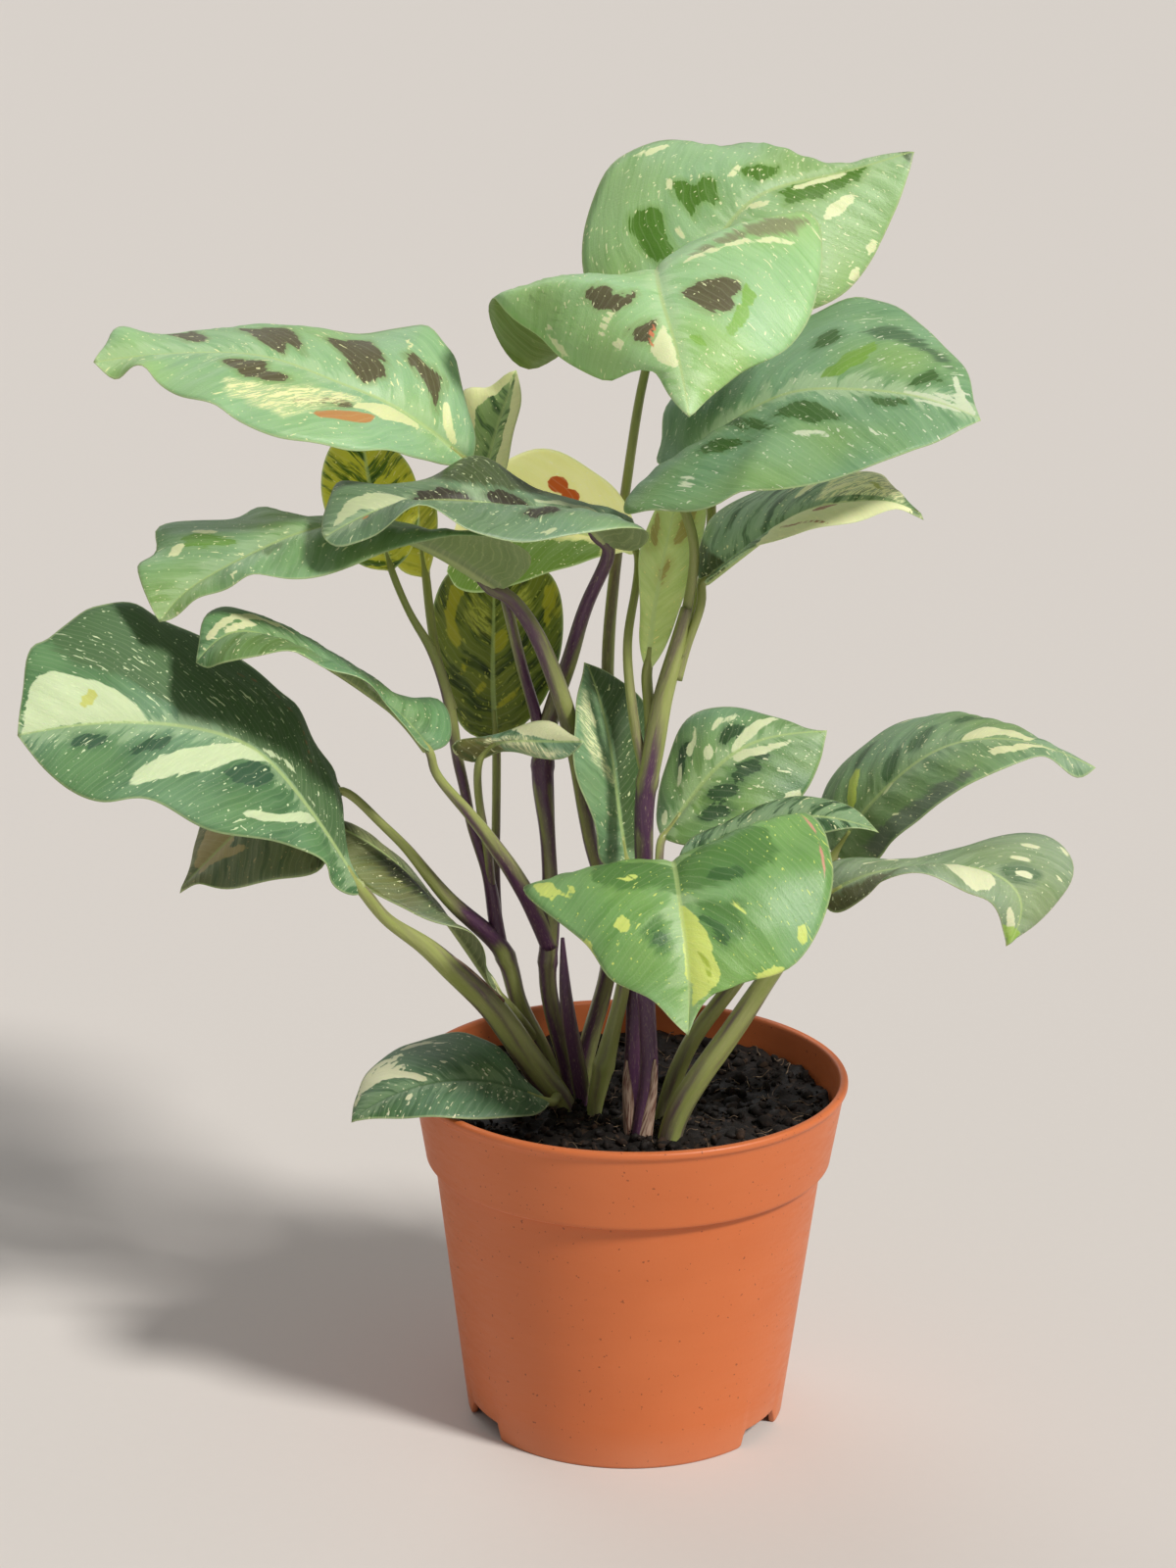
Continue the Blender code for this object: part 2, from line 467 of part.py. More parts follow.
def tube(line, sides, grow=0.0):
    """Points and faces of a closed round tube along rows of x, y, z, radius."""
    centre, radius = line[:, :3], line[:, 3] + grow
    along = unit_rows(np.gradient(centre, axis=0))
    across = unit_rows(np.cross(along[0], (0.0, 1.0, 0.0)))
    points = []
    for middle, way, size in zip(centre, along, radius):
        across = unit_rows(across - way * np.dot(across, way))
        other = np.cross(way, across)
        for k in range(sides):
            turn = 2 * math.pi * k / sides
            ray = across * math.cos(turn) + other * math.sin(turn)
            points.append(middle + ray * size)
    faces = []
    for i in range(len(centre) - 1):
        for k in range(sides):
            a, b = i * sides + k, i * sides + (k + 1) % sides
            faces.append([a, b, b + sides, a + sides])
    faces.append(list(reversed(range(sides))))
    faces.append(list(range(len(points) - sides, len(points))))
    return points, faces


def stalk_line(stalk, in_soil):
    """Even points along a stalk, from under the soil where it stands in it, to its blade."""
    points, leaf_name = stalk
    points = [tuple(p) for p in points]
    if in_soil:
        x, y, z, radius = points[0]
        points.insert(0, (x, y, SOIL_LEVEL - STEM_DEPTH, radius * 0.9))
    if leaf_name:
        seat = np.array(LEAVES[leaf_name]["rib"][0], float)
        before = np.array(points[-1][:3], float)
        stop = seat - unit_rows(seat - before) * JOINT_GAP
        points.append((*stop, STALK_TIP_RADIUS))
    return even_points(points, step=STEM_STEP)


def add_shoot(name, shoot):
    lines = [stalk_line(s, i == 0) for i, s in enumerate(shoot["stalks"])]
    main = add_object(name, *tube(lines[0], STEM_SIDES), shoot["look"])
    for i, line in enumerate(lines[1:], start=1):
        branch = add_object(f"{name}_stalk_{i}", *tube(line, STEM_SIDES), shoot["look"])
        combine(main, branch, "UNION")
    return lines[0]


def pot_profile():
    """From the foot, up outside, over the bead, down inside and over the stepped floor.

    The middle of the floor stands level with the foot, and the drain holes are in the
    channel around it that the notches lead to.
    """
    inner = POT_WALL
    bead_z = POT_HEIGHT - BEAD_HEIGHT
    return [
        (FOOT_RADIUS - inner, 0.0), (FOOT_RADIUS, 0.0), (BODY_TOP_RADIUS, COLLAR_BOTTOM_Z),
        (COLLAR_BOTTOM_RADIUS - 0.6, COLLAR_BOTTOM_Z), (COLLAR_BOTTOM_RADIUS, 75.6),
        (RIM_RADIUS - 1.0, bead_z - 0.3), (RIM_RADIUS, bead_z + 0.6),
        (RIM_RADIUS, POT_HEIGHT - 0.6), (RIM_RADIUS - 0.6, POT_HEIGHT),
        (RIM_RADIUS - 1.7, POT_HEIGHT), (RIM_RADIUS - 2.3, POT_HEIGHT - 1.0),
        (COLLAR_BOTTOM_RADIUS - inner, COLLAR_BOTTOM_Z + 2.0),
        (BODY_TOP_RADIUS - inner, COLLAR_BOTTOM_Z - 0.4),
        (FOOT_RADIUS - 0.8, FLOOR_Z + FLOOR_THICKNESS + 1.0),
        (FOOT_RADIUS - 2.0, FLOOR_Z + FLOOR_THICKNESS),
        (FLOOR_STEP_RADIUS + FLOOR_SLOPE - 0.6, FLOOR_Z + FLOOR_THICKNESS),
        (FLOOR_STEP_RADIUS - 0.6, FLOOR_THICKNESS), (0.0, FLOOR_THICKNESS),
        (0.0, 0.0), (FLOOR_STEP_RADIUS, 0.0), (FLOOR_STEP_RADIUS + FLOOR_SLOPE, FLOOR_Z),
        (FOOT_RADIUS - inner + 0.4, FLOOR_Z),
    ]


def turned(name, profile, segments, look):
    """A closed solid of revolution. A flat disc fans out from a point beside its middle."""
    points, faces, rings = [], [], []
    for radius, z in profile:
        if radius == 0.0:
            rings.append([len(points)] * segments)
            points.append((*FAN_OFFSET, z))
            continue
        rings.append(list(range(len(points), len(points) + segments)))
        for k in range(segments):
            turn = 2 * math.pi * k / segments
            points.append((radius * math.cos(turn), radius * math.sin(turn), z))
    for a, b in zip(rings, rings[1:] + rings[:1]):
        for k in range(segments):
            m = (k + 1) % segments
            face = list(dict.fromkeys([a[k], a[m], b[m], b[k]]))
            if len(face) > 2:
                faces.append(face)
    return add_object(name, points, faces, look)


def notch_cutter(direction):
    """A wedge through the foot ring with sloping sides, its middle seen from the front."""
    half = math.radians(NOTCH_ANGLE / 2)
    middle = math.radians(direction) - math.pi / 2
    points = []
    for radius in (FOOT_RADIUS - 6.0, FOOT_RADIUS + 6.0):
        for z, share in ((-2.0, 1.12), (NOTCH_HEIGHT, 0.78)):
            for way in (-1, 1):
                turn = middle + way * half * share
                points.append((radius * math.cos(turn), radius * math.sin(turn), z))
    faces = [(0, 1, 3, 2), (4, 6, 7, 5), (0, 2, 6, 4), (1, 5, 7, 3), (2, 3, 7, 6), (0, 4, 5, 1)]
    return add_object(f"notch_{int(direction) % 360}", points, faces, PLASTIC, smooth=False)


def drain_cutter(direction):
    """A round drain hole through the floor beside a notch."""
    turn = math.radians(direction) - math.pi / 2
    x, y = DRAIN_PITCH_RADIUS * math.cos(turn), DRAIN_PITCH_RADIUS * math.sin(turn)
    line = np.array([(x, y, FLOOR_Z - 2, DRAIN_RADIUS), (x, y, FLOOR_Z + 5, DRAIN_RADIUS)])
    return add_object(f"drain_{int(direction) % 360}", *tube(line, 12), PLASTIC)


def add_pot():
    pot = turned("pot", pot_profile(), POT_SEGMENTS, PLASTIC)
    for direction in NOTCH_DIRECTIONS:
        combine(pot, notch_cutter(direction), "DIFFERENCE")
        combine(pot, drain_cutter(direction), "DIFFERENCE")
    for polygon in pot.data.polygons:
        polygon.use_smooth = True


def soil_height(x, y):
    lumps = noise.noise(Vector((x, y, 0.0)) / 11.0) + 0.6 * noise.noise(
        Vector((x, y, 40.0)) / 5.0)
    return SOIL_LEVEL + SOIL_BUMP * lumps


def add_soil(stem_lines):
    """Potting soil: it follows the pot's inside and has one plain hole for each stem."""
    shell = CLEARANCE + 0.15
    rim_inside = COLLAR_BOTTOM_RADIUS - 0.5
    wall = [
        (FLOOR_STEP_RADIUS - 1.4, FLOOR_THICKNESS + CLEARANCE),
        (FLOOR_STEP_RADIUS + FLOOR_SLOPE - 1.2, FLOOR_Z + FLOOR_THICKNESS + CLEARANCE),
        (FOOT_RADIUS - 2.4, FLOOR_Z + FLOOR_THICKNESS + CLEARANCE),
        (FOOT_RADIUS - 1.2, FLOOR_Z + FLOOR_THICKNESS + 1.4),
        (BODY_TOP_RADIUS - POT_WALL - shell, COLLAR_BOTTOM_Z - 0.4),
        (COLLAR_BOTTOM_RADIUS - POT_WALL - shell, COLLAR_BOTTOM_Z + 2.0),
    ]
    points, faces = [(0.0, 0.0, wall[0][1])], []
    rings = []
    for radius, z in wall:
        rings.append(ring_of(points, radius, lambda x, y, z=z: z))
    for k in range(SOIL_RINGS, 0, -1):
        rings.append(ring_of(points, rim_inside * k / SOIL_RINGS, soil_height))
    top = len(points)
    points.append((0.0, 0.0, soil_height(0.0, 0.0)))
    for k in range(SOIL_SEGMENTS):
        m = (k + 1) % SOIL_SEGMENTS
        faces.append((0, rings[0][m], rings[0][k]))
        faces.append((top, rings[-1][k], rings[-1][m]))
        for a, b in zip(rings, rings[1:]):
            faces.append((a[k], a[m], b[m]))
            faces.append((a[k], b[m], b[k]))
    soil = add_object("soil", points, faces, EARTH)
    for i, line in enumerate(stem_lines):
        low = line[line[:, 2] < HOLE_TOP_Z].copy()
        low[0, 2] -= CLEARANCE
        hole = add_object(f"stem_hole_{i}", *tube(low, STEM_SIDES, CLEARANCE + 0.05), EARTH)
        combine(soil, hole, "DIFFERENCE")


def ring_of(points, radius, height):
    """Adds one ring of soil points and gives their numbers."""
    first = len(points)
    for k in range(SOIL_SEGMENTS):
        turn = 2 * math.pi * k / SOIL_SEGMENTS
        x, y = radius * math.cos(turn), radius * math.sin(turn)
        points.append((x, y, height(x, y)))
    return list(range(first, len(points)))


def clear_scene():
    for obj in list(bpy.data.objects):
        bpy.data.objects.remove(obj, do_unlink=True)


def main():
    clear_scene()
    add_pot()
    for name, leaf in LEAVES.items():
        add_leaf(name, leaf)
    stems = [add_shoot(name, shoot) for name, shoot in SHOOTS.items()]
    add_soil(stems)


main()
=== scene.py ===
"""Looks of a potted prayer plant: blades, stems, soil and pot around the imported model.

Lengths in the tables are millimetres from the middle of the pot's foot: +X is to the right,
-Y towards the viewer and +Z up. A blade's place is t, from base to tip, and v, from -1 at
its right margin over the midrib to 1 at its left margin, seen from above with the tip ahead.
"""

import json
import math
from functools import partial
from types import SimpleNamespace

import bmesh
import bpy
import numpy as np
from mathutils import Matrix, Vector, noise


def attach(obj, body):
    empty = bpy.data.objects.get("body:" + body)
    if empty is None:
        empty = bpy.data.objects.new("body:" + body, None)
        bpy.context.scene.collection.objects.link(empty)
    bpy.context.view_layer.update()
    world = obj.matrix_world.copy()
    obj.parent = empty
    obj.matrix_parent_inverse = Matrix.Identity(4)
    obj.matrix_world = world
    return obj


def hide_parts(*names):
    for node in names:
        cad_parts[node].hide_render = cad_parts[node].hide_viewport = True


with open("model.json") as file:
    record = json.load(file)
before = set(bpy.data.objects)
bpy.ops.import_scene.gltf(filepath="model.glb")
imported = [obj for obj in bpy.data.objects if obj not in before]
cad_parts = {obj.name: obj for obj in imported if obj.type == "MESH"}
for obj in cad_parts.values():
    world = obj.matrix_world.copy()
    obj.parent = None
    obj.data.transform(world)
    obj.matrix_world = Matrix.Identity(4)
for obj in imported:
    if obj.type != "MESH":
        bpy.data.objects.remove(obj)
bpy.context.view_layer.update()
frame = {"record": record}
SLOTS = {part["node"]: part["material_slot"] for part in frame["record"]["subparts"]}

bl_info = {
    "name": "Potted prayer plant",
    "version": (1, 0, 0),
    "blender": (4, 5, 0),
    "location": "3D View > Sidebar > Plant",
    "description": "Builds the blades, stems, soil, pot and stage of a potted prayer plant",
    "category": "Object",
}

MM = 0.001

# Pot: a moulded plastic nursery pot of the 12 cm size.
POT_HEIGHT = 97.5
RIM_RADIUS = 60.0
BEAD_HEIGHT = 2.2
COLLAR_BOTTOM_Z = 74.2
COLLAR_BOTTOM_RADIUS = 55.8
BODY_TOP_RADIUS = 53.4
FOOT_RADIUS = 44.1
POT_WALL = 1.5
FLOOR_Z = 5.0
FLOOR_THICKNESS = 1.4
FLOOR_STEP_RADIUS = 21.0
FLOOR_SLOPE = 3.0
NOTCH_HEIGHT = 4.5
NOTCH_DIRECTIONS = (-62.7, 57.5, 177.5)
NOTCH_ANGLE = 23.0
NOTCH_FADE = 16.0
DRAIN_RADIUS = 3.0
DRAIN_PITCH_RADIUS = 33.0

# Soil, and the stalks that stand in it.
SOIL_LEVEL = 88.0
SOIL_DEPTH_OF_STEMS = 14.0
CRUMB_SPREAD = 53.0
SOIL_SEED = 5
STALK_STEP = 1.6
THINNEST_STALK = 0.35
NODE_SWELL = 0.14
NODE_HALF = 1.5
TUBE_LUMPS = 6.0

# Camera: the photograph's viewing angle, worked out from the pot's ellipses.
CAMERA_PLACE = (-12.0, -897.0, 436.0)
CAMERA_PITCH = 15.96
CAMERA_ROLL = 0.55
CAMERA_LENS = 80.0

# Radii of the studio floor's rings, in metres, from its edge to its middle.
FLOOR_RINGS = (40.0, 14.0, 4.0, 1.2, 0.4, 0.0)
FLOOR_SEGMENTS = 96

# Each blade: midrib from base to tip, then its left and right margin seen from above with
# the tip ahead. The margins leave out the base and the tip, which they share with the midrib.
LEAVES = {
    "leaf_crown_back": dict(
        rib=[(10, 27, 308), (21, 33, 321), (32, 38, 332), (51, 44, 337), (74, 49, 343)],
        left=[(-8, 31, 303), (-14, 36, 309), (-15, 41, 318), (-13, 48, 329), (-8, 53, 337.5),
              (-3, 55, 341), (6, 58, 344.5), (14, 60, 344), (24, 60, 343.5), (30, 60, 344.5),
              (38, 59, 340.5), (48, 56, 337.5), (62, 52, 341)],
        right=[(21, 23, 297), (38, 23, 301), (50, 26, 305), (59, 32, 311), (65, 38, 320),
               (70, 43, 331)]),
    "leaf_crown_front": dict(
        rib=[(3, 9, 311), (4, -5, 318), (5, -23, 314), (9, -38, 302), (12, -47, 287)],
        left=[(14, 15, 319), (22, 16, 322.5), (30, 15, 326), (36, 12, 328.5), (42, 7, 331.5),
              (46, 3, 328.5), (46.5, -2, 324), (46, -9, 319), (43, -20, 309), (36, -30, 301),
              (26, -36, 297), (16, -43, 290)],
        right=[(-16, 15, 296), (-29, 13, 289), (-37, 9, 298), (-39, 6, 305), (-36, -7, 309.5),
               (-31, -11, 305), (-25, -17, 301.5), (-20, -22, 297.5), (-12, -27, 294),
               (-7, -30, 293.5), (-1, -33, 296), (4, -37, 296), (7, -42, 292.5)],
        bulge=(0.08, 0.13)),
    "leaf_right_upper": dict(
        rib=[(9, -13, 268), (21, -15, 278), (37, -17, 288), (54, -20, 290), (70, -24, 289),
             (86, -29, 284)],
        left=[(5, -4, 268), (6, 1, 272), (8, 8, 281), (17, 13, 289.5), (30, 16, 296.5),
              (44, 17.5, 302.5), (50, 18, 305.5), (57, 17.5, 307.5), (62, 16, 307),
              (67, 13, 306), (72, 8, 303), (77, 1, 299.5), (81, -6, 296), (84.5, -16.5, 290.5)],
        right=[(2, -18, 265), (-3, -24, 262), (-3, -33, 260), (3, -38, 262), (13, -43.5, 263),
               (20, -46.5, 265.5), (25, -48, 269), (33, -49, 269.5), (46, -49, 272),
               (58, -47, 275.5), (70, -42, 279), (79, -36, 282)]),
    "leaf_right_under": dict(
        rib=[(17, -13, 238), (29, -17, 248.5), (37, -19, 255), (45, -20.5, 259.5),
             (59, -23, 262), (66, -25, 261.5), (73, -27, 258.5)],
        left=[(15.5, -8, 240.5), (17, -3, 246), (22, 3, 254), (39, 9, 260.5), (60, 3, 264.5),
              (65, -6, 265), (69, -19, 262)],
        right=[(21, -21.5, 242.5), (29, -28, 250), (34.5, -31, 253), (42.5, -33, 256),
               (50, -33.5, 257.5), (58, -32.5, 259.5), (65, -30, 261.5), (69, -28.5, 260.5)]),
    "leaf_left_upper": dict(
        rib=[(-43, -5, 267), (-63, -16, 284), (-78, -19, 291), (-96, -19, 297), (-122, -20, 297),
             (-138, -21, 295)],
        left=[(-48, -13, 268), (-56, -29, 273), (-62, -37, 276), (-69, -43, 277),
              (-78, -47, 279.5), (-90, -49.5, 282), (-99, -48, 285.5), (-104.5, -46, 289),
              (-112.5, -42, 290), (-121, -35, 293), (-124, -32, 295.5), (-128, -28.5, 294.5),
              (-132, -25.5, 291.5), (-136, -22.5, 293.5)],
        right=[(-42, -4, 274), (-44.5, -1, 281), (-48, 8, 291.5), (-51, 10.5, 295.5),
               (-55, 12.5, 299.5), (-60, 13.5, 299), (-73, 14, 297.5), (-80, 13.5, 298.5),
               (-97, 11.5, 300), (-107, 8.5, 299), (-120, 1, 299), (-127, -5, 300.5),
               (-132, -10, 302.5), (-134.5, -13, 301.5), (-136, -17, 298)]),
    "leaf_behind_left": dict(
        rib=[(-41, 17, 255), (-38, 20, 269), (-32, 23, 287)],
        left=[(-47, 25, 260), (-49, 31, 270.5), (-46, 31, 280.5), (-41, 29, 280.5),
              (-36.5, 26, 283.5), (-34, 24, 286)],
        right=[(-35, 11, 261), (-32, 13, 273), (-30.5, 17, 280)]),
    "leaf_yellow": dict(
        rib=[(0, 3, 243), (-15, 9, 246), (-35, 13, 245), (-50, 6, 236)],
        left=[(-10, -4, 242), (-23, -4, 238), (-37, -2, 233), (-46, 1, 232)],
        right=[(-2, 13, 252), (-13, 23, 261), (-27, 27, 265), (-41, 27, 256), (-49, 17, 243)]),
    "leaf_middle_left": dict(
        rib=[(-7, -17, 248), (-16, -22, 257), (-30, -26, 260), (-47, -33, 263), (-63, -43, 263),
             (-78, -50, 256.5)],
        left=[(0, -25, 249), (2, -35, 256), (-13, -47, 258), (-28.5, -53, 257),
              (-41.5, -55, 259), (-48.5, -56.5, 264), (-54, -57, 266), (-59, -57.5, 263.5),
              (-64, -57, 260), (-70, -55.5, 256.5), (-74.5, -54, 255)],
        right=[(-1, -7, 253), (-19, -1, 257), (-31, -5, 263), (-43, -13, 270.5), (-51.5, -19, 267),
               (-58.5, -21.5, 265), (-66, -24, 265), (-75, -29.5, 266.5), (-77, -36, 264),
               (-79, -44, 259)]),
    "leaf_left_middle": dict(
        rib=[(-35, -21, 237), (-46, -24, 245), (-61, -28, 253), (-79, -33, 256),
             (-99, -38, 249), (-114, -41, 240), (-120, -43, 233)],
        left=[(-29, -29, 243), (-28, -37, 251), (-45, -39, 255), (-59, -43, 253),
              (-67, -46, 250), (-77, -49.5, 247), (-87, -51, 246), (-95.5, -50.5, 247.5),
              (-102, -49, 243.5), (-110, -47, 240), (-116.5, -44.5, 234.5)],
        right=[(-39, -11, 243), (-53, -13, 251), (-68, -17, 254.5), (-81, -19, 255),
               (-88, -18.5, 254.5), (-95, -17, 257), (-99, -17, 256.5), (-103, -17, 254.5),
               (-119.5, -22, 253.5), (-123, -25, 252), (-123, -30, 248.5), (-126, -35, 246),
               (-125.5, -38, 243.5), (-123, -41, 238)]),
    "leaf_yellow_green": dict(
        rib=[(-64, -3, 238), (-68, 3, 250), (-71, 9, 262), (-73, 15, 274)],
        left=[(-73, -3, 240), (-81, 1, 251), (-83, 7, 261), (-80, 13, 270)],
        right=[(-59, -1, 243), (-57, 5, 254), (-60, 11, 263), (-66, 15, 270)]),
    "leaf_yellow_inner": dict(
        rib=[(-56, 16, 232), (-58, 22, 243), (-59, 27, 254)],
        left=[(-63, 17, 234), (-66, 22, 243), (-63, 27, 250)],
        right=[(-54, 17, 237), (-53, 22, 246), (-55, 27, 252)]),
    "leaf_left_big": dict(
        rib=[(-70, -29, 158), (-79, -33, 174), (-88, -40, 190), (-97, -45, 201),
             (-110, -49, 207), (-132, -55, 210), (-154, -61, 208)],
        left=[(-72.5, -31, 157.5), (-77, -36, 161), (-79, -40.5, 166.5), (-81, -43.5, 171),
              (-90.5, -51.5, 178), (-102.5, -58.5, 182), (-110, -61.5, 185.5), (-122, -65, 193),
              (-130.5, -66.5, 192.5), (-138.5, -67, 194.5), (-146.5, -66, 200.5)],
        right=[(-71, -27, 159), (-74.5, -22, 163), (-76, -19.5, 170), (-76, -17.5, 179),
               (-77, -17, 184), (-78.5, -16.5, 188), (-83, -16, 194), (-87.5, -16, 204.5),
               (-91, -16.5, 208), (-99, -17, 214.5), (-113.5, -20, 224), (-124, -24.5, 230),
               (-129, -28, 234), (-136, -32.5, 235), (-141, -36, 234), (-149, -44, 228),
               (-152, -47, 227), (-153.5, -57.5, 214.5)]),
    "leaf_left_narrow": dict(
        rib=[(-53, -25, 195), (-60, -29, 205), (-70, -35, 215), (-86, -43, 227),
             (-101, -49, 232), (-110, -53, 225)],
        left=[(-54, -33, 198), (-61, -43, 209), (-67, -51, 219), (-77, -57, 225),
              (-87, -61, 230), (-99, -61, 228), (-107, -57, 225)],
        right=[(-48, -19, 197), (-51, -13, 205), (-60, -13, 206), (-76, -17, 217),
               (-90, -25, 227), (-103, -35, 236), (-109, -45, 233)]),
    "leaf_left_low": dict(
        rib=[(-33, 5, 115), (-44, 3, 132), (-55, 1, 148), (-68, -1, 161), (-82, -3, 169)],
        left=[(-37, 0, 121), (-41, -5, 136), (-50, -9, 142), (-61, -11, 148), (-71, -11, 153),
              (-80, -8, 162)],
        right=[(-37, 6, 122), (-46, 8, 133), (-56, 10, 145), (-65, 10, 156), (-75, 4, 167)]),
    "leaf_left_behind": dict(
        rib=[(-77, -7, 179), (-90, -9, 178), (-104, -13, 170), (-120, -19, 154)],
        left=[(-79, -18, 171), (-82, -23, 162), (-93, -26, 160), (-107, -25, 157),
              (-114, -23, 158)],
        right=[(-85, 2, 184), (-99, 7, 179), (-115, 1, 170), (-118, -12, 160)]),
    "leaf_on_rim": dict(
        rib=[(-21, -19, 96), (-37, -23, 103), (-53, -27, 104), (-65, -31, 101), (-74, -35, 96)],
        left=[(-25, -29, 96), (-34, -35, 97), (-49, -39, 98.4), (-63, -38, 98)],
        right=[(-28, -16, 101), (-36, -9, 107), (-46, -3, 109), (-56, -3, 108), (-66, -9, 105),
               (-73, -21, 100)]),
    "leaf_backlit": dict(
        rib=[(-37, 15, 187), (-38, 17, 202), (-38, 21, 217), (-38, 27, 234)],
        left=[(-46, 17, 190), (-52, 21, 204), (-55, 26, 220), (-49, 30, 231)],
        right=[(-28, 15, 193), (-22, 18, 203), (-19, 23, 218), (-24, 29, 231)]),
    "leaf_small_front": dict(
        rib=[(-41, -7, 187), (-37, -10, 193), (-26, -17, 196), (-13, -25, 198)],
        left=[(-46, -6, 188), (-48, -7, 192), (-40, -6, 194), (-30, -9, 197), (-22, -13, 200),
              (-17, -20, 199)],
        right=[(-36, -9, 190), (-26, -19, 192), (-18, -23, 193)]),
    "leaf_centre": dict(
        rib=[(-1, -9, 159), (-4, -9, 177), (-6, -7, 191), (-9, -3, 203), (-13, 1, 213)],
        left=[(-8, -15, 162), (-10, -19, 173), (-14, -21, 185), (-16, -19, 195), (-15, -9, 207)],
        right=[(2, -3, 162), (3, 1, 174), (5, 4, 191), (1, 4, 203), (-7, 3, 210)]),
    "leaf_centre_right": dict(
        rib=[(8, 5, 163), (15, 9, 172), (24, 13, 182), (36, 17, 188), (53, 21, 189)],
        left=[(6.5, 13, 168), (9.5, 21, 179), (16, 27, 191), (33, 29, 192), (47, 25, 189)],
        right=[(16, 1, 162), (29, 2, 164), (42, 7, 170), (49, 13, 178), (52, 18, 185)]),
    "leaf_front": dict(
        rib=[(8, -25, 158), (10, -35, 169), (12, -53, 161), (14, -62, 147), (14, -65, 132)],
        left=[(23, -19, 161), (38, -21, 173), (44.5, -23, 179), (49, -28, 176),
              (50.5, -38, 172.5), (51, -44, 168), (49, -50.5, 160.5), (47, -53.5, 156.5),
              (43, -56.5, 151), (38, -59.5, 147.5), (27, -63, 145), (22, -64, 144),
              (18.5, -64.5, 141), (15.5, -65, 136)],
        right=[(-3, -27, 157), (-17, -27, 160), (-28, -35, 161), (-21, -49, 158),
               (-12, -57, 153), (-8.5, -59, 149), (-5, -61.5, 145), (3.5, -64.5, 142),
               (8.5, -66, 138)],
        bulge=(0.09, 0.09)),
    "leaf_streaked": dict(
        rib=[(12, -11, 161), (30, -11, 170), (48, -13, 175), (65, -17, 172)],
        left=[(15, -5, 165), (32, 0, 173), (45, -1, 177), (55, -6, 177), (61, -12, 174)],
        right=[(22, -15, 160), (37, -19, 168), (53, -19, 173)]),
    "leaf_right_high": dict(
        rib=[(54, -3, 161), (61, -5, 173), (71, -7, 185), (84, -9, 194), (103, -13, 196),
             (121, -17, 190)],
        left=[(51, 7, 167), (53, 17, 175), (63, 23, 185), (76, 24, 192), (90, 19, 195),
              (103, 5, 194), (114, -7, 191)],
        right=[(63, -11, 161), (69, -19, 170), (78, -23, 180), (87, -25, 188), (98, -23, 192),
               (108, -20, 194), (116, -19, 188)]),
    "leaf_right_low": dict(
        rib=[(49, -31, 158), (62, -37, 167), (76, -41, 170), (91, -45, 170), (99, -47, 163),
             (96, -49, 151)],
        left=[(50, -23, 164), (58, -21, 166), (76, -23, 166), (91, -23, 171), (106, -27, 175),
              (114, -34, 169), (110, -40, 162), (102, -45, 155)],
        right=[(52, -37, 156), (59, -45, 162), (64, -53, 170), (74, -57, 173), (84, -57, 168),
               (90, -55, 165), (94, -52, 158)]),
    "leaf_new": dict(
        rib=[(3, -13, 213), (5, -11, 231), (8, -8, 248), (11, -5, 261)],
        left=[(1, -11, 221), (1, -9, 235), (2, -4, 247), (6, -1, 257)],
        right=[(7, -13, 219), (13, -11, 235), (18, -6, 253), (17, -3, 259)]),
}

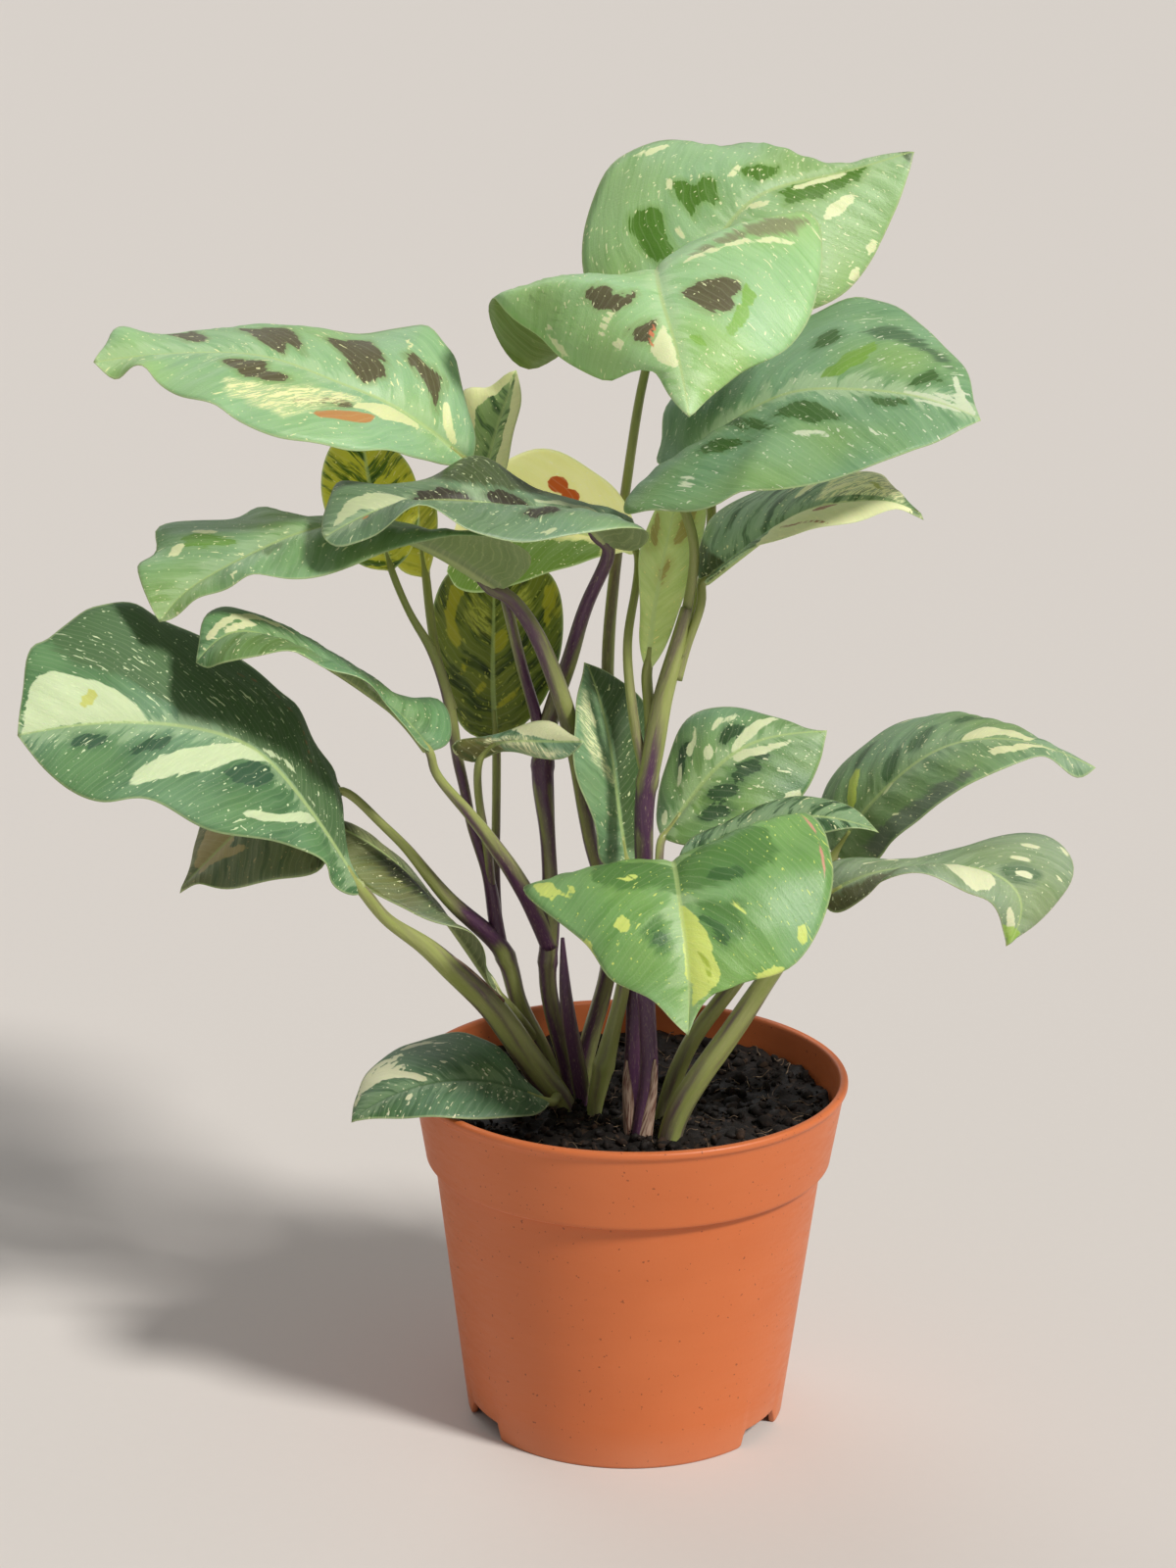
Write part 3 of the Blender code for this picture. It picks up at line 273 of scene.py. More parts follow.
# Each shoot: a first stalk that stands in the soil, then the stalks that leave it. A point
# is x, y, z and the radius there. A leaf's name at the end carries the stalk to that blade.
SHOOTS = {
    "shoot_left_low": [
        ([(-18, -4, 88, 3.6), (-24, -5, 98, 3.8), (-37, -10, 119, 3.6), (-47, -15, 131, 3.2),
          (-56, -20, 141, 2.4), (-65, -24, 149, 1.7)], "leaf_left_big"),
        ([(-19, -4, 91, 1.6), (-20, -11, 94, 1.3)], "leaf_on_rim")],
    "shoot_left_high": [
        ([(-21, 14, 88, 2.7), (-26, 13, 103, 2.4), (-31, 11, 115, 2.4), (-35, 9, 129, 2.6),
          (-48, 1, 145, 2.1), (-60, -5, 162, 1.4), (-68, -7, 171, 1.2)], "leaf_left_behind"),
        ([(-35, 9, 128, 1.9), (-37, 8, 139, 2.0), (-39, 6, 152, 1.6), (-43, 3, 166, 1.4),
          (-45, 1, 177, 1.4), (-47, 0, 187, 1.5), (-49, -1, 201, 1.5), (-54, -2, 217, 1.3),
          (-59, -3, 226, 1.0)], "leaf_yellow_green"),
        ([(-48, -1, 200, 1.2), (-53, 5, 215, 1.2)], "leaf_yellow_inner"),
        ([(-36, 9, 133, 1.3), (-37, 12, 148, 1.3), (-37, 14, 163, 1.2)], "leaf_backlit"),
        ([(-38, 7, 147, 1.3), (-39, 3, 160, 1.2), (-41, -1, 174, 1.1)],
         "leaf_small_front"),
        ([(-25, 13, 101, 1.4), (-29, 9, 108, 1.3)], "leaf_left_low")],
    "shoot_centre": [
        ([(-15, 9, 88, 2.9), (-19.5, 8, 106, 2.5), (-22.5, 6, 122, 2.4), (-22, 5, 136, 2.6),
          (-22, 5, 150, 2.2), (-23, 5, 166, 2.2), (-24, 5, 177, 2.9), (-24, 5, 187, 2.8),
          (-21, 1, 202, 2.3), (-17, -3, 215, 2.1), (-12, -10, 233, 1.8)], "leaf_middle_left"),
        ([(-24, 5, 183, 1.9), (-26, 3, 197, 1.6), (-29, -1, 209, 1.5), (-33, -9, 228, 1.4),
          (-38, -6, 246, 1.3), (-42, 0, 258, 1.2)], "leaf_left_upper"),
        ([(-33, -9, 229, 1.2), (-38, -3, 240, 1.1), (-42, 7, 249, 1.1)],
         "leaf_behind_left"),
        ([(-22, 5, 132, 2.6), (-27, 1, 145, 2.5), (-34, -7, 160, 2.2), (-45, -17, 178, 1.5),
          (-52, -22, 189, 1.2)], "leaf_left_narrow")],
    "shoot_sheath": [
        ([(-12.5, 1, 88, 2.3), (-15.5, 1, 106, 2.2), (-17.5, 0, 120, 1.7), (-18.5, 0, 136, 0.5)],
         None)],
    "shoot_left_middle": [
        ([(-13, 17, 88, 2.6), (-10, 17, 104, 2.5), (-6, 16, 121, 2.3), (-6, 13, 142, 2.0),
          (-10, 9, 156, 1.9), (-14, 1, 180, 2.2), (-17, -8, 198, 2.5), (-25, -14, 222, 2.2),
          (-32, -19, 234, 1.9)], "leaf_left_middle")],
    "shoot_inner": [
        ([(-9.5, -7, 88, 2.0), (-7, -6, 101, 2.7), (-4.5, -5, 112, 2.2), (-2, -5, 124, 1.9),
          (-1, -7, 140, 1.4)], "leaf_centre")],
    "shoot_crown": [
        ([(0.5, -4, 88, 2.3), (1, -2, 117, 2.0), (-1, 4, 149, 1.8), (-5, 7, 176, 1.7),
          (-7, 10, 206, 1.7), (-6, 16, 227, 1.6), (-4, 20, 245, 1.4), (-2, 16, 262, 1.3),
          (1, 7, 285, 1.2), (3, 5, 298, 1.1)], "leaf_crown_front")],
    "shoot_right": [
        ([(3, -24, 88, 2.6), (5, -22, 103, 2.4), (4, -20, 127, 2.3), (3, -20, 163, 2.4),
          (3, -20, 181, 2.6), (5, -20, 195, 2.8), (7, -19, 207, 2.6), (10, -18, 219, 2.2),
          (13, -17, 232, 1.4)], None),
        ([(11, -18, 213, 1.3), (14, -17, 224, 1.2), (17, -15, 234, 1.2)], "leaf_right_under"),
        ([(4, -20, 185, 1.6), (1, -19, 196, 1.4), (-1, -17, 208, 1.3), (-2, -13, 222, 1.2),
          (0, -5, 234, 1.1)], "leaf_yellow"),
        ([(4, -19, 190, 1.7), (4, -17, 203, 1.5)], "leaf_new"),
        ([(11, -18, 219, 1.4), (14, -15, 236, 1.3), (14, -14, 252, 1.3)], "leaf_right_upper"),
        ([(12, -18, 219, 1.3), (17, -3, 234, 1.3), (20, 11, 252, 1.3), (15, 25, 278, 1.2),
          (8, 34, 298, 1.1)],
         "leaf_crown_back"),
        ([(3, -20, 145, 1.4), (7, -7, 155, 1.2)], "leaf_centre_right"),
        ([(4, -20, 127, 1.8), (8, -22, 142, 1.6)], "leaf_front"),
        ([(4, -20, 135, 1.4), (11, -14, 147, 1.2)], "leaf_streaked")],
    "shoot_right_low": [
        ([(11, -23, 88, 3.2), (17, -24, 103, 3.2), (27, -25, 119, 3.0), (35, -27, 133, 2.6),
          (44, -29, 148, 1.8)], "leaf_right_low")],
    "shoot_right_high": [
        ([(9.5, -10, 88, 2.4), (16.5, -8, 109, 2.3), (26, -7, 123, 2.2), (39, -5, 142, 1.8),
          (48, -3, 154, 1.5)], "leaf_right_high")],
}

# How purple each stalk of a shoot is at its start and its end.
STALK_TINTS = {
    "shoot_left_low": [(0.5, 0.15), (0.2, 0.1)],
    "shoot_left_high": [(0.5, 0.25), (0.9, 0.15), (0.3, 0.1), (0.6, 0.1), (0.5, 0.15),
                        (0.3, 0.1)],
    "shoot_centre": [(0.5, 0.7), (0.7, 0.2), (0.3, 0.1), (0.7, 0.2)],
    "shoot_sheath": [(0.5, 0.8)],
    "shoot_left_middle": [(0.5, 0.55)],
    "shoot_inner": [(0.3, 0.15)],
    "shoot_crown": [(1.0, 0.05)],
    "shoot_right": [(1.1, 0.35), (0.3, 0.0), (0.4, 0.0), (0.3, 0.0), (0.3, 0.0),
                    (0.3, 0.1), (0.8, 0.2), (0.8, 0.1), (0.8, 0.1)],
    "shoot_right_low": [(0.45, 0.1)],
    "shoot_right_high": [(0.4, 0.1)],
}
# Purple joints of the first two stalks: height and half length in millimetres.
JOINT_RINGS = {
    "shoot_left_high": [(138, 9.0)],
    "shoot_centre": [(182, 6.0)],
    "shoot_right": [(118, 14.0), (150, 16.0), (178, 9.0)],
}
# Heights of the swollen rings where a stalk leaves its stem.
NODE_RINGS = {
    "shoot_inner": [101.5],
    "shoot_centre": [127.5, 183.5],
    "shoot_left_high": [127.0],
    "shoot_right": [127.0, 186.0],
}
# Withered sheath ends that hug a stem, as rows of x, y, z and radius.
SHEATH_ENDS = [
    [(3.5, -24.6, 86.0, 2.5), (4.9, -24.2, 95.0, 1.9), (6.0, -23.8, 101.0, 1.3),
     (6.4, -23.6, 106.0, 0.9), (6.6, -23.4, 110.0, 0.3)],
    [(0.2, -22.8, 88.0, 1.6), (-0.4, -22.6, 98.0, 1.5), (-0.9, -22.2, 104.0, 1.0),
     (-1.0, -22.0, 109.0, 0.3)],
    [(-34.5, -10.0, 121.0, 0.9), (-39.7, -12.5, 126.9, 0.9), (-44.8, -15.0, 132.8, 0.7),
     (-47.8, -16.7, 136.1, 0.25)],
]

# Paint of a mature blade, a deep green one and a yellow one. ground lies on the raised
# bands and deep between them, and warm and cool drift over both; halo runs round a blotch;
# tan is withered and gold yellowed, and shade is painted shade where a blade lies in shadow
# or turns away from the light. feather, flecks and marble are shares from 0 to 1, through is
# how far the upper side shows underneath, and the emission share is painted light that
# stands in for light coming through the blade.
SILVER = dict(ground="#A6CB90", deep="#7FAE6C", blotch="#5C5140", halo="#6C8A3E", cream="#EDF3BE",
              tan="#C98A45", gold="#A9C24A", shade="#4A5E38", warm="#9EC058", cool="#9CC2A2",
              under="#7F8C55", feather=0.28, flecks=0.5, marble=0.0, through=0.2, painted_glow=0.0,
              rough=0.42)
DEEP = dict(ground="#6E9A66", deep="#3F6A3A", blotch="#33502F", halo="#3E6238", cream="#E9EBB8",
            tan="#B47A48", gold="#A9B24A", shade="#333C20", warm="#7E9440", cool="#7FA08A",
            under="#66713F", feather=0.12, flecks=0.5, marble=0.0, through=0.2, painted_glow=0.0,
            rough=0.52)
YELLOW = dict(ground="#B9B64A", deep="#6E7C24", blotch="#3F5516", halo="#58701E", cream="#E9E38E",
              tan="#A8631C", gold="#E3D24A", shade="#3F4A14", warm="#B8B83A", cool="#8E9A50",
              under="#8E8C34", feather=0.0, flecks=0.3, marble=0.6, through=0.6, painted_glow=0.1,
              rough=0.52)

# What each blade shows, by colour. A stroke is t, v at both ends and its half width in mm,
# a patch is t, v, t, v and so on round its outline. Each t and v is in hundredths. Patches
# of shade are painted shade, in places also the duller colour of an underside that the
# blade doesn't turn over to show.
PAINT = {
    "leaf_crown_back": dict(SILVER, ground="#A0C68C", deep="#7EAA6A", blotch="#4F7D22",
        halo="#7BA34C", warm="#A0BE6E",
        strokes={"cream": [(55, -6, 74, -4, 0.8), (59.5, -41, 71, -37, 1.7),
            (57.5, -95, 61, -95, 1.5), (66.5, -92, 70, -93, 1.2), (37, -2, 45, -10, 0.9),
            (45.5, 93, 51, 87, 1.3), (52, 33, 46, 25, 0.8), (41, 56, 38, 50, 0.8),
            (28, 35, 24, 25, 0.7)]},
        patches={"blotch": [
            (31, 67, 32.5, 58, 33, 50, 31, 45, 27, 40, 21, 30, 19, 30, 17.5, 38, 20, 47, 24.5, 58,
             28.5, 66),
            (40, 52, 41, 45, 40.5, 38, 44, 37, 43.5, 30, 39, 23, 36, 15, 36, 22, 34.5, 27, 30.5, 24,
             33.5, 34, 37, 45),
            (50, 30, 53, 28, 56, 27, 59.5, 24, 57, 17, 54, 12, 49, 12, 49.5, 22),
            (49, -4, 55, -3, 62, -2, 72, -2, 82, -4, 77, -19, 70, -20, 64, -22, 58.5, -22, 52, -20,
             49, -18, 51, -10)], "shade": [
            (95.5, -110, 95.5, 110, 102, 110, 102, -110)]}),
    # Its under colour is brightened, painted light for the light coming through its upturned lobe.
    "leaf_crown_front": dict(SILVER, ground="#ABD596", deep="#8ABD76", blotch="#5B4E3C",
        halo="#8FA86A", tan="#E08A62", gold="#86B84A", shade="#8A8A68", under="#66740F",
        strokes={"tan": [(66, -13, 73.5, -24, 0.8)], "cream": [(59, -62, 55, -50, 1),
            (67, -58, 61, -38, 1.2), (71, -52, 71, -50, 1.6), (61, -88, 70, -97, 1.2),
            (40, 18, 42, 52, 0.8), (42, 52, 45.5, 84, 1.1)]},
        patches={"blotch": [
            (53.5, 12, 50.8, 21, 52, 33, 54.5, 46, 57.5, 50, 60, 43, 63, 44, 64, 35, 62.5, 27,
             60, 20, 56.5, 15),
            (55, -50, 53, -40, 52, -31, 54.5, -32, 55, -26, 52.5, -19, 51.5, -12, 57.5, -22,
             59, -30, 61, -38, 60, -46, 57.5, -50),
            (68, -37, 65.5, -24, 63.5, -13, 65.5, -12, 69, -18, 73, -22, 72, -28, 70, -33)], "gold": [
            (69, 14, 71, 25, 74.5, 28, 75, 20, 72, 14),
            (56, 52, 62, 50, 70, 42, 74, 44, 68, 54, 60, 60)], "shade": [
            (38, 25, 38, 50, 37, 75, 40, 95, 43, 80, 41, 50, 40, 25)], "cream": [
            (63, -3, 66, -7, 70, -15, 73.5, -25, 77.5, -27, 80.5, -20, 82, -12, 81.5, -2, 75, -2,
             69, -3)]}),
    "leaf_right_upper": dict(SILVER, ground="#82AA7C", deep="#638F62", blotch="#44682F",
        halo="#5C8650", cream="#DCE6C6", gold="#7BA63C", shade="#4C6A48", feather=0.42,
        strokes={"cream": [(86, 62, 97, 20, 0.9), (76, 3, 97, 4, 0.8), (90, 30, 97, 12, 1.2),
            (84, 12, 92, 20, 0.6), (80, -10, 93, -10, 1), (52.5, -53, 60, -56, 1.2),
            (30, -78, 34, -79, 1.3), (23, -30, 36, -62, 0.5)]},
        patches={"gold": [
            (52, 10, 53, 16, 56, 20, 57, 29, 61, 36, 63.5, 46, 65.3, 40, 63, 31, 62, 22, 59, 18,
             57.5, 10)], "blotch": [
            (49, 40, 51, 52, 54, 58, 57, 50, 54, 42),
            (76.5, 12, 77.5, 25, 80, 45, 83, 42, 85, 38, 82, 25, 79, 13),
            (66.5, -13, 69, -13, 73, -14, 77.5, -14, 78, -22, 74, -28, 70, -26),
            (47.6, -17, 52, -20, 57.7, -29, 63.3, -40, 59.5, -42, 55.4, -42, 50.4, -40, 44, -30,
             46, -22),
            (27, -43, 30, -40, 32.4, -42, 38, -45, 43.2, -52, 40, -54, 36, -55, 32, -56, 28.5, -50),
            (23, -4, 30, -14, 36, -26, 41.4, -34, 48, -47, 51, -54, 45, -46, 38, -38, 31, -24,
             25, -10)], "shade": [
            (60, 55, 66, 72, 72, 80, 80, 80, 84, 70, 78, 66, 70, 60, 64, 50)]}),
    "leaf_right_under": dict(DEEP, ground="#93B48A", cream="#F2F3BC", tan="#A9805C",
        shade="#3A4414", marble=0.4, through=0.95, painted_glow=0.1,
        strokes={"tan": [(56, -30, 64, -20, 1.2), (44, -60, 52, -66, 0.5), (52, -66, 62, -92, 0.5)],
            "cream": [(49, 28, 56, 55, 1.5), (56, 55, 66, 78, 1.5), (63, 80, 76, 97, 1.4),
            (76, 98, 88, 90, 0.9), (58, 20, 66, 35, 0.9), (72, 30, 80, 42, 1.1)],
            "gold": [(74, 45, 80, 35, 0.9)]},
        patches={"cream": [
            (40, -30, 45, 0, 60, 2, 76, 2, 93, 0, 93, -110, 50, -110, 34, -110)], "dapple": [
            (56, 10, 90, 10, 90, 90, 62, 90)], "shade": [
            (0, -110, 14, -110, 14, 110, 0, 110),
            (94.5, -110, 94.5, 110, 102, 110, 102, -110)]}),
    "leaf_left_upper": dict(SILVER, ground="#9CC48C", deep="#82B078", blotch="#574B38",
        halo="#7F9556", cream="#EFF2B4", tan="#C08C52",
        strokes={"cream": [(8, -15, 16, -45, 1.3), (33, -85, 30, -60, 0.7)]},
        patches={"blotch": [
            (30.5, -52, 27, -55, 24, -60, 21, -60, 19, -48, 17, -27, 22, -36, 26, -42, 29, -46),
            (48, -62, 44, -68, 41.5, -80, 39.5, -76, 37.5, -60, 34, -36, 32, -20, 33.5, -16,
             35.5, -10, 38, -14, 40.5, -24, 43, -38, 46, -51),
            (65.7, -66, 60, -64, 56.5, -74, 54.5, -64, 52.8, -47, 51, -18, 54.5, -28, 55.5, -9,
             57.5, -14, 60, -22, 62.5, -42),
            (79.5, -85, 77, -78, 74.5, -86, 73, -64, 72, -32, 74.5, -24, 77, -31, 78.5, -55),
            (68, 33, 65, 24, 62.2, 18, 58.4, 15, 58, 29, 52.9, 30, 54, 37, 56.7, 43, 59.7, 48,
             62.8, 50, 65.5, 42),
            (50.5, 60, 48.5, 58, 45, 50, 42, 42, 38.5, 36, 38.3, 40, 40, 45, 43, 50, 45.5, 56,
             48, 60)], "cream": [
            (19, 12, 24, 10, 28, 12, 33, 22, 37, 33, 38, 42, 30, 50, 24, 42, 20, 28)], "dapple": [
            (35, 22, 45, 28, 56, 50, 66, 62, 65, 82, 52, 80, 48, 66, 40, 40)], "tan": [
            (48, 66, 45.5, 74, 42, 71, 38, 66, 34.5, 60, 32.5, 47, 35, 48, 38, 50, 42, 56,
             45, 64)]}),
    "leaf_behind_left": dict(DEEP, ground="#8FAE62", deep="#34602C", cream="#EFF0B0", marble=0.55,
        painted_glow=0.08,
        patches={"cream": [
            (0, 50, 30, 42, 60, 50, 90, 30, 102, 30, 102, 110, 0, 110),
            (0, -55, 40, -60, 70, -50, 102, -35, 102, -110, 0, -110)]}),
    # This blade's pale colours are its own yellow lightened, painted light for the light coming
    # through it, and it has the strongest emission.
    "leaf_yellow": dict(YELLOW, ground="#F4F0A8", deep="#E9E690", blotch="#6E8E3C", halo="#8AA548",
        cream="#F6F4BC", tan="#B8561C", warm="#F0E890", cool="#E4E89A", flecks=0.1, marble=0.0,
        painted_glow=0.42,
        strokes={"tan": [(42, -56, 40, -54, 2.7), (36.5, -45, 35, -43, 2.5)],
            "blotch": [(30, -25, 15, -30, 1.5), (30, 75, 90, 80, 9)]}),
    "leaf_middle_left": dict(SILVER, ground="#76926E", deep="#5A7A54", blotch="#3A3029",
        halo="#5C6A4C", cream="#D2DCAE", shade="#46502A",
        strokes={"tan": [(86, 18, 86, 22, 1)], "cream": [(30, -20, 12, -30, 1.4),
            (42, 86, 46, 90, 0.8)]},
        patches={"blotch": [
            (70, -2, 66, -25, 61.5, -30, 57, -22, 53, -12, 49, 0, 46, 3, 53, 4, 60, 4, 66, 3),
            (45.5, -12, 42, -28, 38, -28, 34, -18, 31, -2, 36, 2, 40, 1, 43, -3),
            (46, 56, 42, 45, 39.5, 38, 35, 34, 31, 34, 34, 48, 38.5, 60, 43, 64)], "cream": [
            (95.5, -25, 90, -48, 85, -48, 80, -36, 75.5, -28, 71, -8, 68, 0, 75, 2, 80, -2, 86, -16,
             91, -18)], "shade": [
            (62, -95, 58, -45, 50, -30, 40, -35, 30, -50, 28, -110, 45, -110)]}),
    "leaf_left_middle": dict(SILVER, ground="#88AE78", deep="#6C9658", blotch="#6C9A3C",
        halo="#8FB079", shade="#5A7A44",
        strokes={"cream": [(74, -66, 70.5, -50, 0.9)]},
        patches={"blotch": [
            (77, -64, 74.5, -60, 72, -46, 70, -30, 71, -22, 73.5, -22, 77, -33, 78.5, -50)], "cream": [
            (83, -72, 80, -66, 77.5, -60, 79, -52, 82, -58)], "shade": [
            (62, 8, 64, 22, 68, 22, 70, 5)]}),
    "leaf_yellow_green": dict(YELLOW, ground="#DAD43C", deep="#566E18", blotch="#2F4A12",
        halo="#56701C", marble=1.0, painted_glow=0.16),
    "leaf_yellow_inner": dict(YELLOW, ground="#D6D24A", deep="#A8A838", marble=0.25),
    "leaf_left_big": dict(SILVER, ground="#5F8858", deep="#3A643C", blotch="#31553A",
        halo="#467048", cream="#D8E7BA", tan="#8A6E48", gold="#C3C65E", shade="#4C6A40",
        warm="#6E9A5C", rough=0.7,
        strokes={"tan": [(48, -74, 42, -86, 0.5), (42, -86, 36, -74, 0.5), (36, -74, 29, -45, 0.5)],
            "gold": [(83, -22, 80, -30, 1.2)], "cream": [(44, -5, 39, -10, 0.4),
            (39, -12, 33, -14, 0.4), (27, -10, 24, -10, 0.4)]},
        patches={"cream": [
            (71, 0, 73, -14, 75.4, -27, 78.5, -38, 81.4, -50, 85, -64, 87.5, -74, 90, -80, 94, -80,
             98, -50, 99, 0, 90, -4, 80, -1),
            (72, 82, 70, 63, 66.2, 47, 62.6, 34, 58.8, 24, 55, 15, 50, 2, 46, 1, 41, 0, 43, 6,
             47.5, 16, 51.1, 27, 54.3, 43, 57.8, 53, 61.9, 62, 63.6, 72, 68, 80),
            (45.7, 73, 41, 68, 36.5, 62, 33, 50, 29.5, 33, 25, 17, 22.5, 10, 24.5, 28, 28.5, 50,
             35, 70, 40, 77, 44, 77)], "blotch": [
            (52, 42, 49, 28, 45.5, 14, 42, 10, 40.5, 18, 41, 30, 44, 43, 47.7, 48),
            (74.5, 41, 71, 30, 68.8, 22, 66, 18, 66, 27, 68, 37, 71, 43),
            (86, 25, 84, 20, 80, 20, 79, 30, 82, 38, 86, 38)], "shade": [
            (83, -110, 80, -62, 74, -40, 68, -16, 50, -3, 10, -3, 10, -110)]}),
    "leaf_left_narrow": dict(DEEP,
        strokes={"cream": [(92, -35, 62, -52, 1.2), (86, -10, 76, -22, 1)]}),
    "leaf_left_low": dict(DEEP, ground="#62622F", deep="#464A20", shade="#222814", marble=0.2,
        strokes={"cream": [(6, 0, 12, 10, 2.2)]},
        patches={"shade": [
            (40, 10, 55, 5, 75, 10, 80, 35, 62, 45, 48, 50)]}),
    "leaf_left_behind": dict(DEEP, ground="#77743E", deep="#4C4E26", cream="#B8A878", flecks=0.2,
        marble=0.2,
        strokes={"cream": [(72, 20, 60, 35, 1.4), (84, 30, 80, 10, 1)]},
        patches={"cream": [
            (55, -35, 62, 10, 72, 30, 84, 15, 86, -25, 76, -50, 64, -55)], "shade": [
            (0, -110, 40, -110, 45, -60, 30, 40, 40, 110, 0, 110)]}),
    "leaf_on_rim": dict(DEEP, ground="#4C7040", deep="#34542A", cream="#E4E3BC", rib="#46683C",
        flecks=0.8, marble=0.3, rough=0.5,
        strokes={"cream": [(82, -95, 68, -85, 1), (60, -88, 50, -82, 1.4), (50, -75, 45, -70, 0.6),
            (70, 28, 72, 42, 0.9), (84, -80, 66, -60, 1.3), (80, -60, 64, -45, 0.9),
            (74, -86, 62, -70, 0.9), (92, -75, 86, -80, 0.8)]},
        patches={"cream": [
            (59, -8, 62, -20, 66, -36, 70, -55, 76, -80, 84, -95, 86, -80, 80, -55, 74, -38,
             68, -22, 63, -5)]}),
    "leaf_backlit": dict(YELLOW, ground="#6E7C22", deep="#33470F", blotch="#24340C", halo="#3E5012",
        cream="#B8BC54", gold="#B4B02E", flecks=0.5, marble=0.85, painted_glow=0.03,
        strokes={"gold": [(58, -75, 72, -85, 1.2), (60, -95, 74, -97, 0.9), (52, -5, 58, -16, 1.6),
            (25, 50, 32, 20, 0.5), (20, -10, 30, -50, 0.5), (38, 60, 46, 40, 0.5)]},
        patches={"gold": [
            (80, 55, 76, 80, 66, 80, 55, 72, 50, 60, 52, 50, 60, 60, 70, 62)], "dapple": [
            (56, 5, 72, 8, 78, 40, 62, 48),
            (60, -20, 74, -30, 80, -60, 66, -60)]}),
    "leaf_small_front": dict(DEEP, ground="#6F9676", cream="#EDEDBE", shade="#6E6426", marble=0.4,
        through=0.5,
        patches={"cream": [
            (50, 75, 53, 42, 60, 28, 70, 12, 80, 4, 95, 2, 97, 50, 90, 110, 50, 110)], "dapple": [
            (28, 40, 45, 50, 52, 30, 62, -40, 80, -70, 70, -90, 50, -80, 30, -30)], "shade": [
            (0, -110, 24, -110, 27, 20, 31, 110, 0, 110)]}),
    "leaf_centre": dict(DEEP, ground="#7DA275", deep="#5C8656", cream="#E2E8B4", shade="#3A5224",
        marble=0.1,
        strokes={"cream": [(80, 56, 66, 44, 0.6), (46, 12, 42, 3, 0.8)]},
        patches={"dapple": [
            (84, 75, 80, 60, 70, 50, 60, 40, 50, 20, 41, 4, 40, 12, 47, 35, 56, 60, 66, 80,
             76, 95)], "shade": [
            (10, -5, 80, -5, 86, 50, 102, 50, 102, -110, 10, -110)]}),
    "leaf_centre_right": dict(SILVER, ground="#6F9466", deep="#4A7444", blotch="#33502F",
        halo="#4C6E46", cream="#E4EBC0",
        strokes={"cream": [(52, 55, 58, 72, 0.8), (60, 60, 64, 75, 0.7), (38, 58, 44, 64, 1),
            (44, 66, 48, 82, 0.5), (43, 20, 46, 34, 1.2), (8, 40, 13, 50, 1), (25, 45, 33, 62, 0.6),
            (60, -86, 68, -93, 1.3)]},
        patches={"cream": [
            (50, 2, 55, 14, 60, 22, 64, 36, 69, 50, 74, 66, 79, 90, 80, 80, 76, 55, 72, 36, 69, 22,
             62, 8, 55, 2),
            (50, -3, 54, -2, 57.5, -4, 62, -10, 70, -14, 80, -18, 78, -26, 70, -24, 60, -18,
             52, -14)], "blotch": [
            (47, -18, 52, -16, 60, -18, 66, -22, 64, -30, 57, -38, 50, -36, 46, -28),
            (34, -20, 42, -26, 47, -36, 45, -46, 38, -44, 33, -34, 30, -24),
            (28, -38, 36, -50, 40, -62, 34, -64, 27, -56, 24, -44),
            (52, 28, 56, 42, 60, 50, 64, 44, 62, 32, 58, 22, 53, 20),
            (28, 55, 34, 72, 40, 84, 42, 70, 37, 55, 31, 44)]}),
    "leaf_front": dict(SILVER, ground="#7EAA62", deep="#629248", blotch="#446C3C", halo="#5C8A4A",
        cream="#DCE97A", tan="#D79A86", gold="#A3B83E", shade="#54803F", warm="#94BA62", flecks=0.3,
        strokes={"gold": [(69, 10, 76, 22, 0.5), (76, 22, 81, 26, 0.5)],
            "cream": [(62.5, -97, 69, -99, 0.8), (54.3, 30, 60.5, 45, 0.6), (64, 87, 68, 92, 1.2),
            (79, 85, 75, 95, 1.2), (36, 90, 42, 93, 0.25)], "tan": [(34, 93, 44, 95, 0.35),
            (44, 95, 55, 93, 0.5)]},
        patches={"cream": [
            (48.5, 0, 52, 4, 57.5, 10, 62, 15, 66, 18, 69.5, 21, 73.5, 28, 78, 37, 82.5, 42, 85, 36,
             89, 25, 90, 10, 85, 8, 81, 7, 80, 0, 77.5, -4, 70, -3, 60, -1),
            (38, -93, 39, -80, 44, -80, 47.5, -87, 44, -93),
            (41, -72, 42, -68, 47, -72, 49, -74, 45, -76),
            (60, -62, 56.5, -52, 55.5, -45, 59, -45, 62, -52, 62.5, -58),
            (41, -42, 39, -33, 37.5, -25, 39.5, -25, 41, -33)], "blotch": [
            (42, 22, 44, 35, 47, 45, 50, 42, 48, 30, 45, 20),
            (55, 12, 60, 25, 66, 35, 68, 30, 62, 18, 57, 10),
            (60, -20, 62, -30, 66, -33, 68, -24, 65, -18)], "shade": [
            (30, -60, 45, -50, 44, -10, 47, 15, 50, 50, 44, 70, 30, 60),
            (56, -20, 62, -42, 70, -30, 66, -12),
            (52, 10, 56, 40, 66, 45, 64, 20)]}),
    "leaf_streaked": dict(DEEP, ground="#7A9E70", flecks=1.0, marble=0.95),
    "leaf_right_high": dict(DEEP, ground="#82A474", deep="#507448", blotch="#4A6C3E",
        gold="#C8D65A", shade="#667262",
        strokes={"cream": [(44, 95, 49, 98, 0.8), (61, 90, 67, 90, 0.9), (46, 45, 50, 52, 0.5),
            (27, -10, 31, -2, 0.7)], "blotch": [(44, 20, 50, 40, 2.2), (30, 62, 36, 75, 2),
            (32, 10, 38, 28, 2), (58, 45, 64, 60, 1.8)]},
        patches={"gold": [
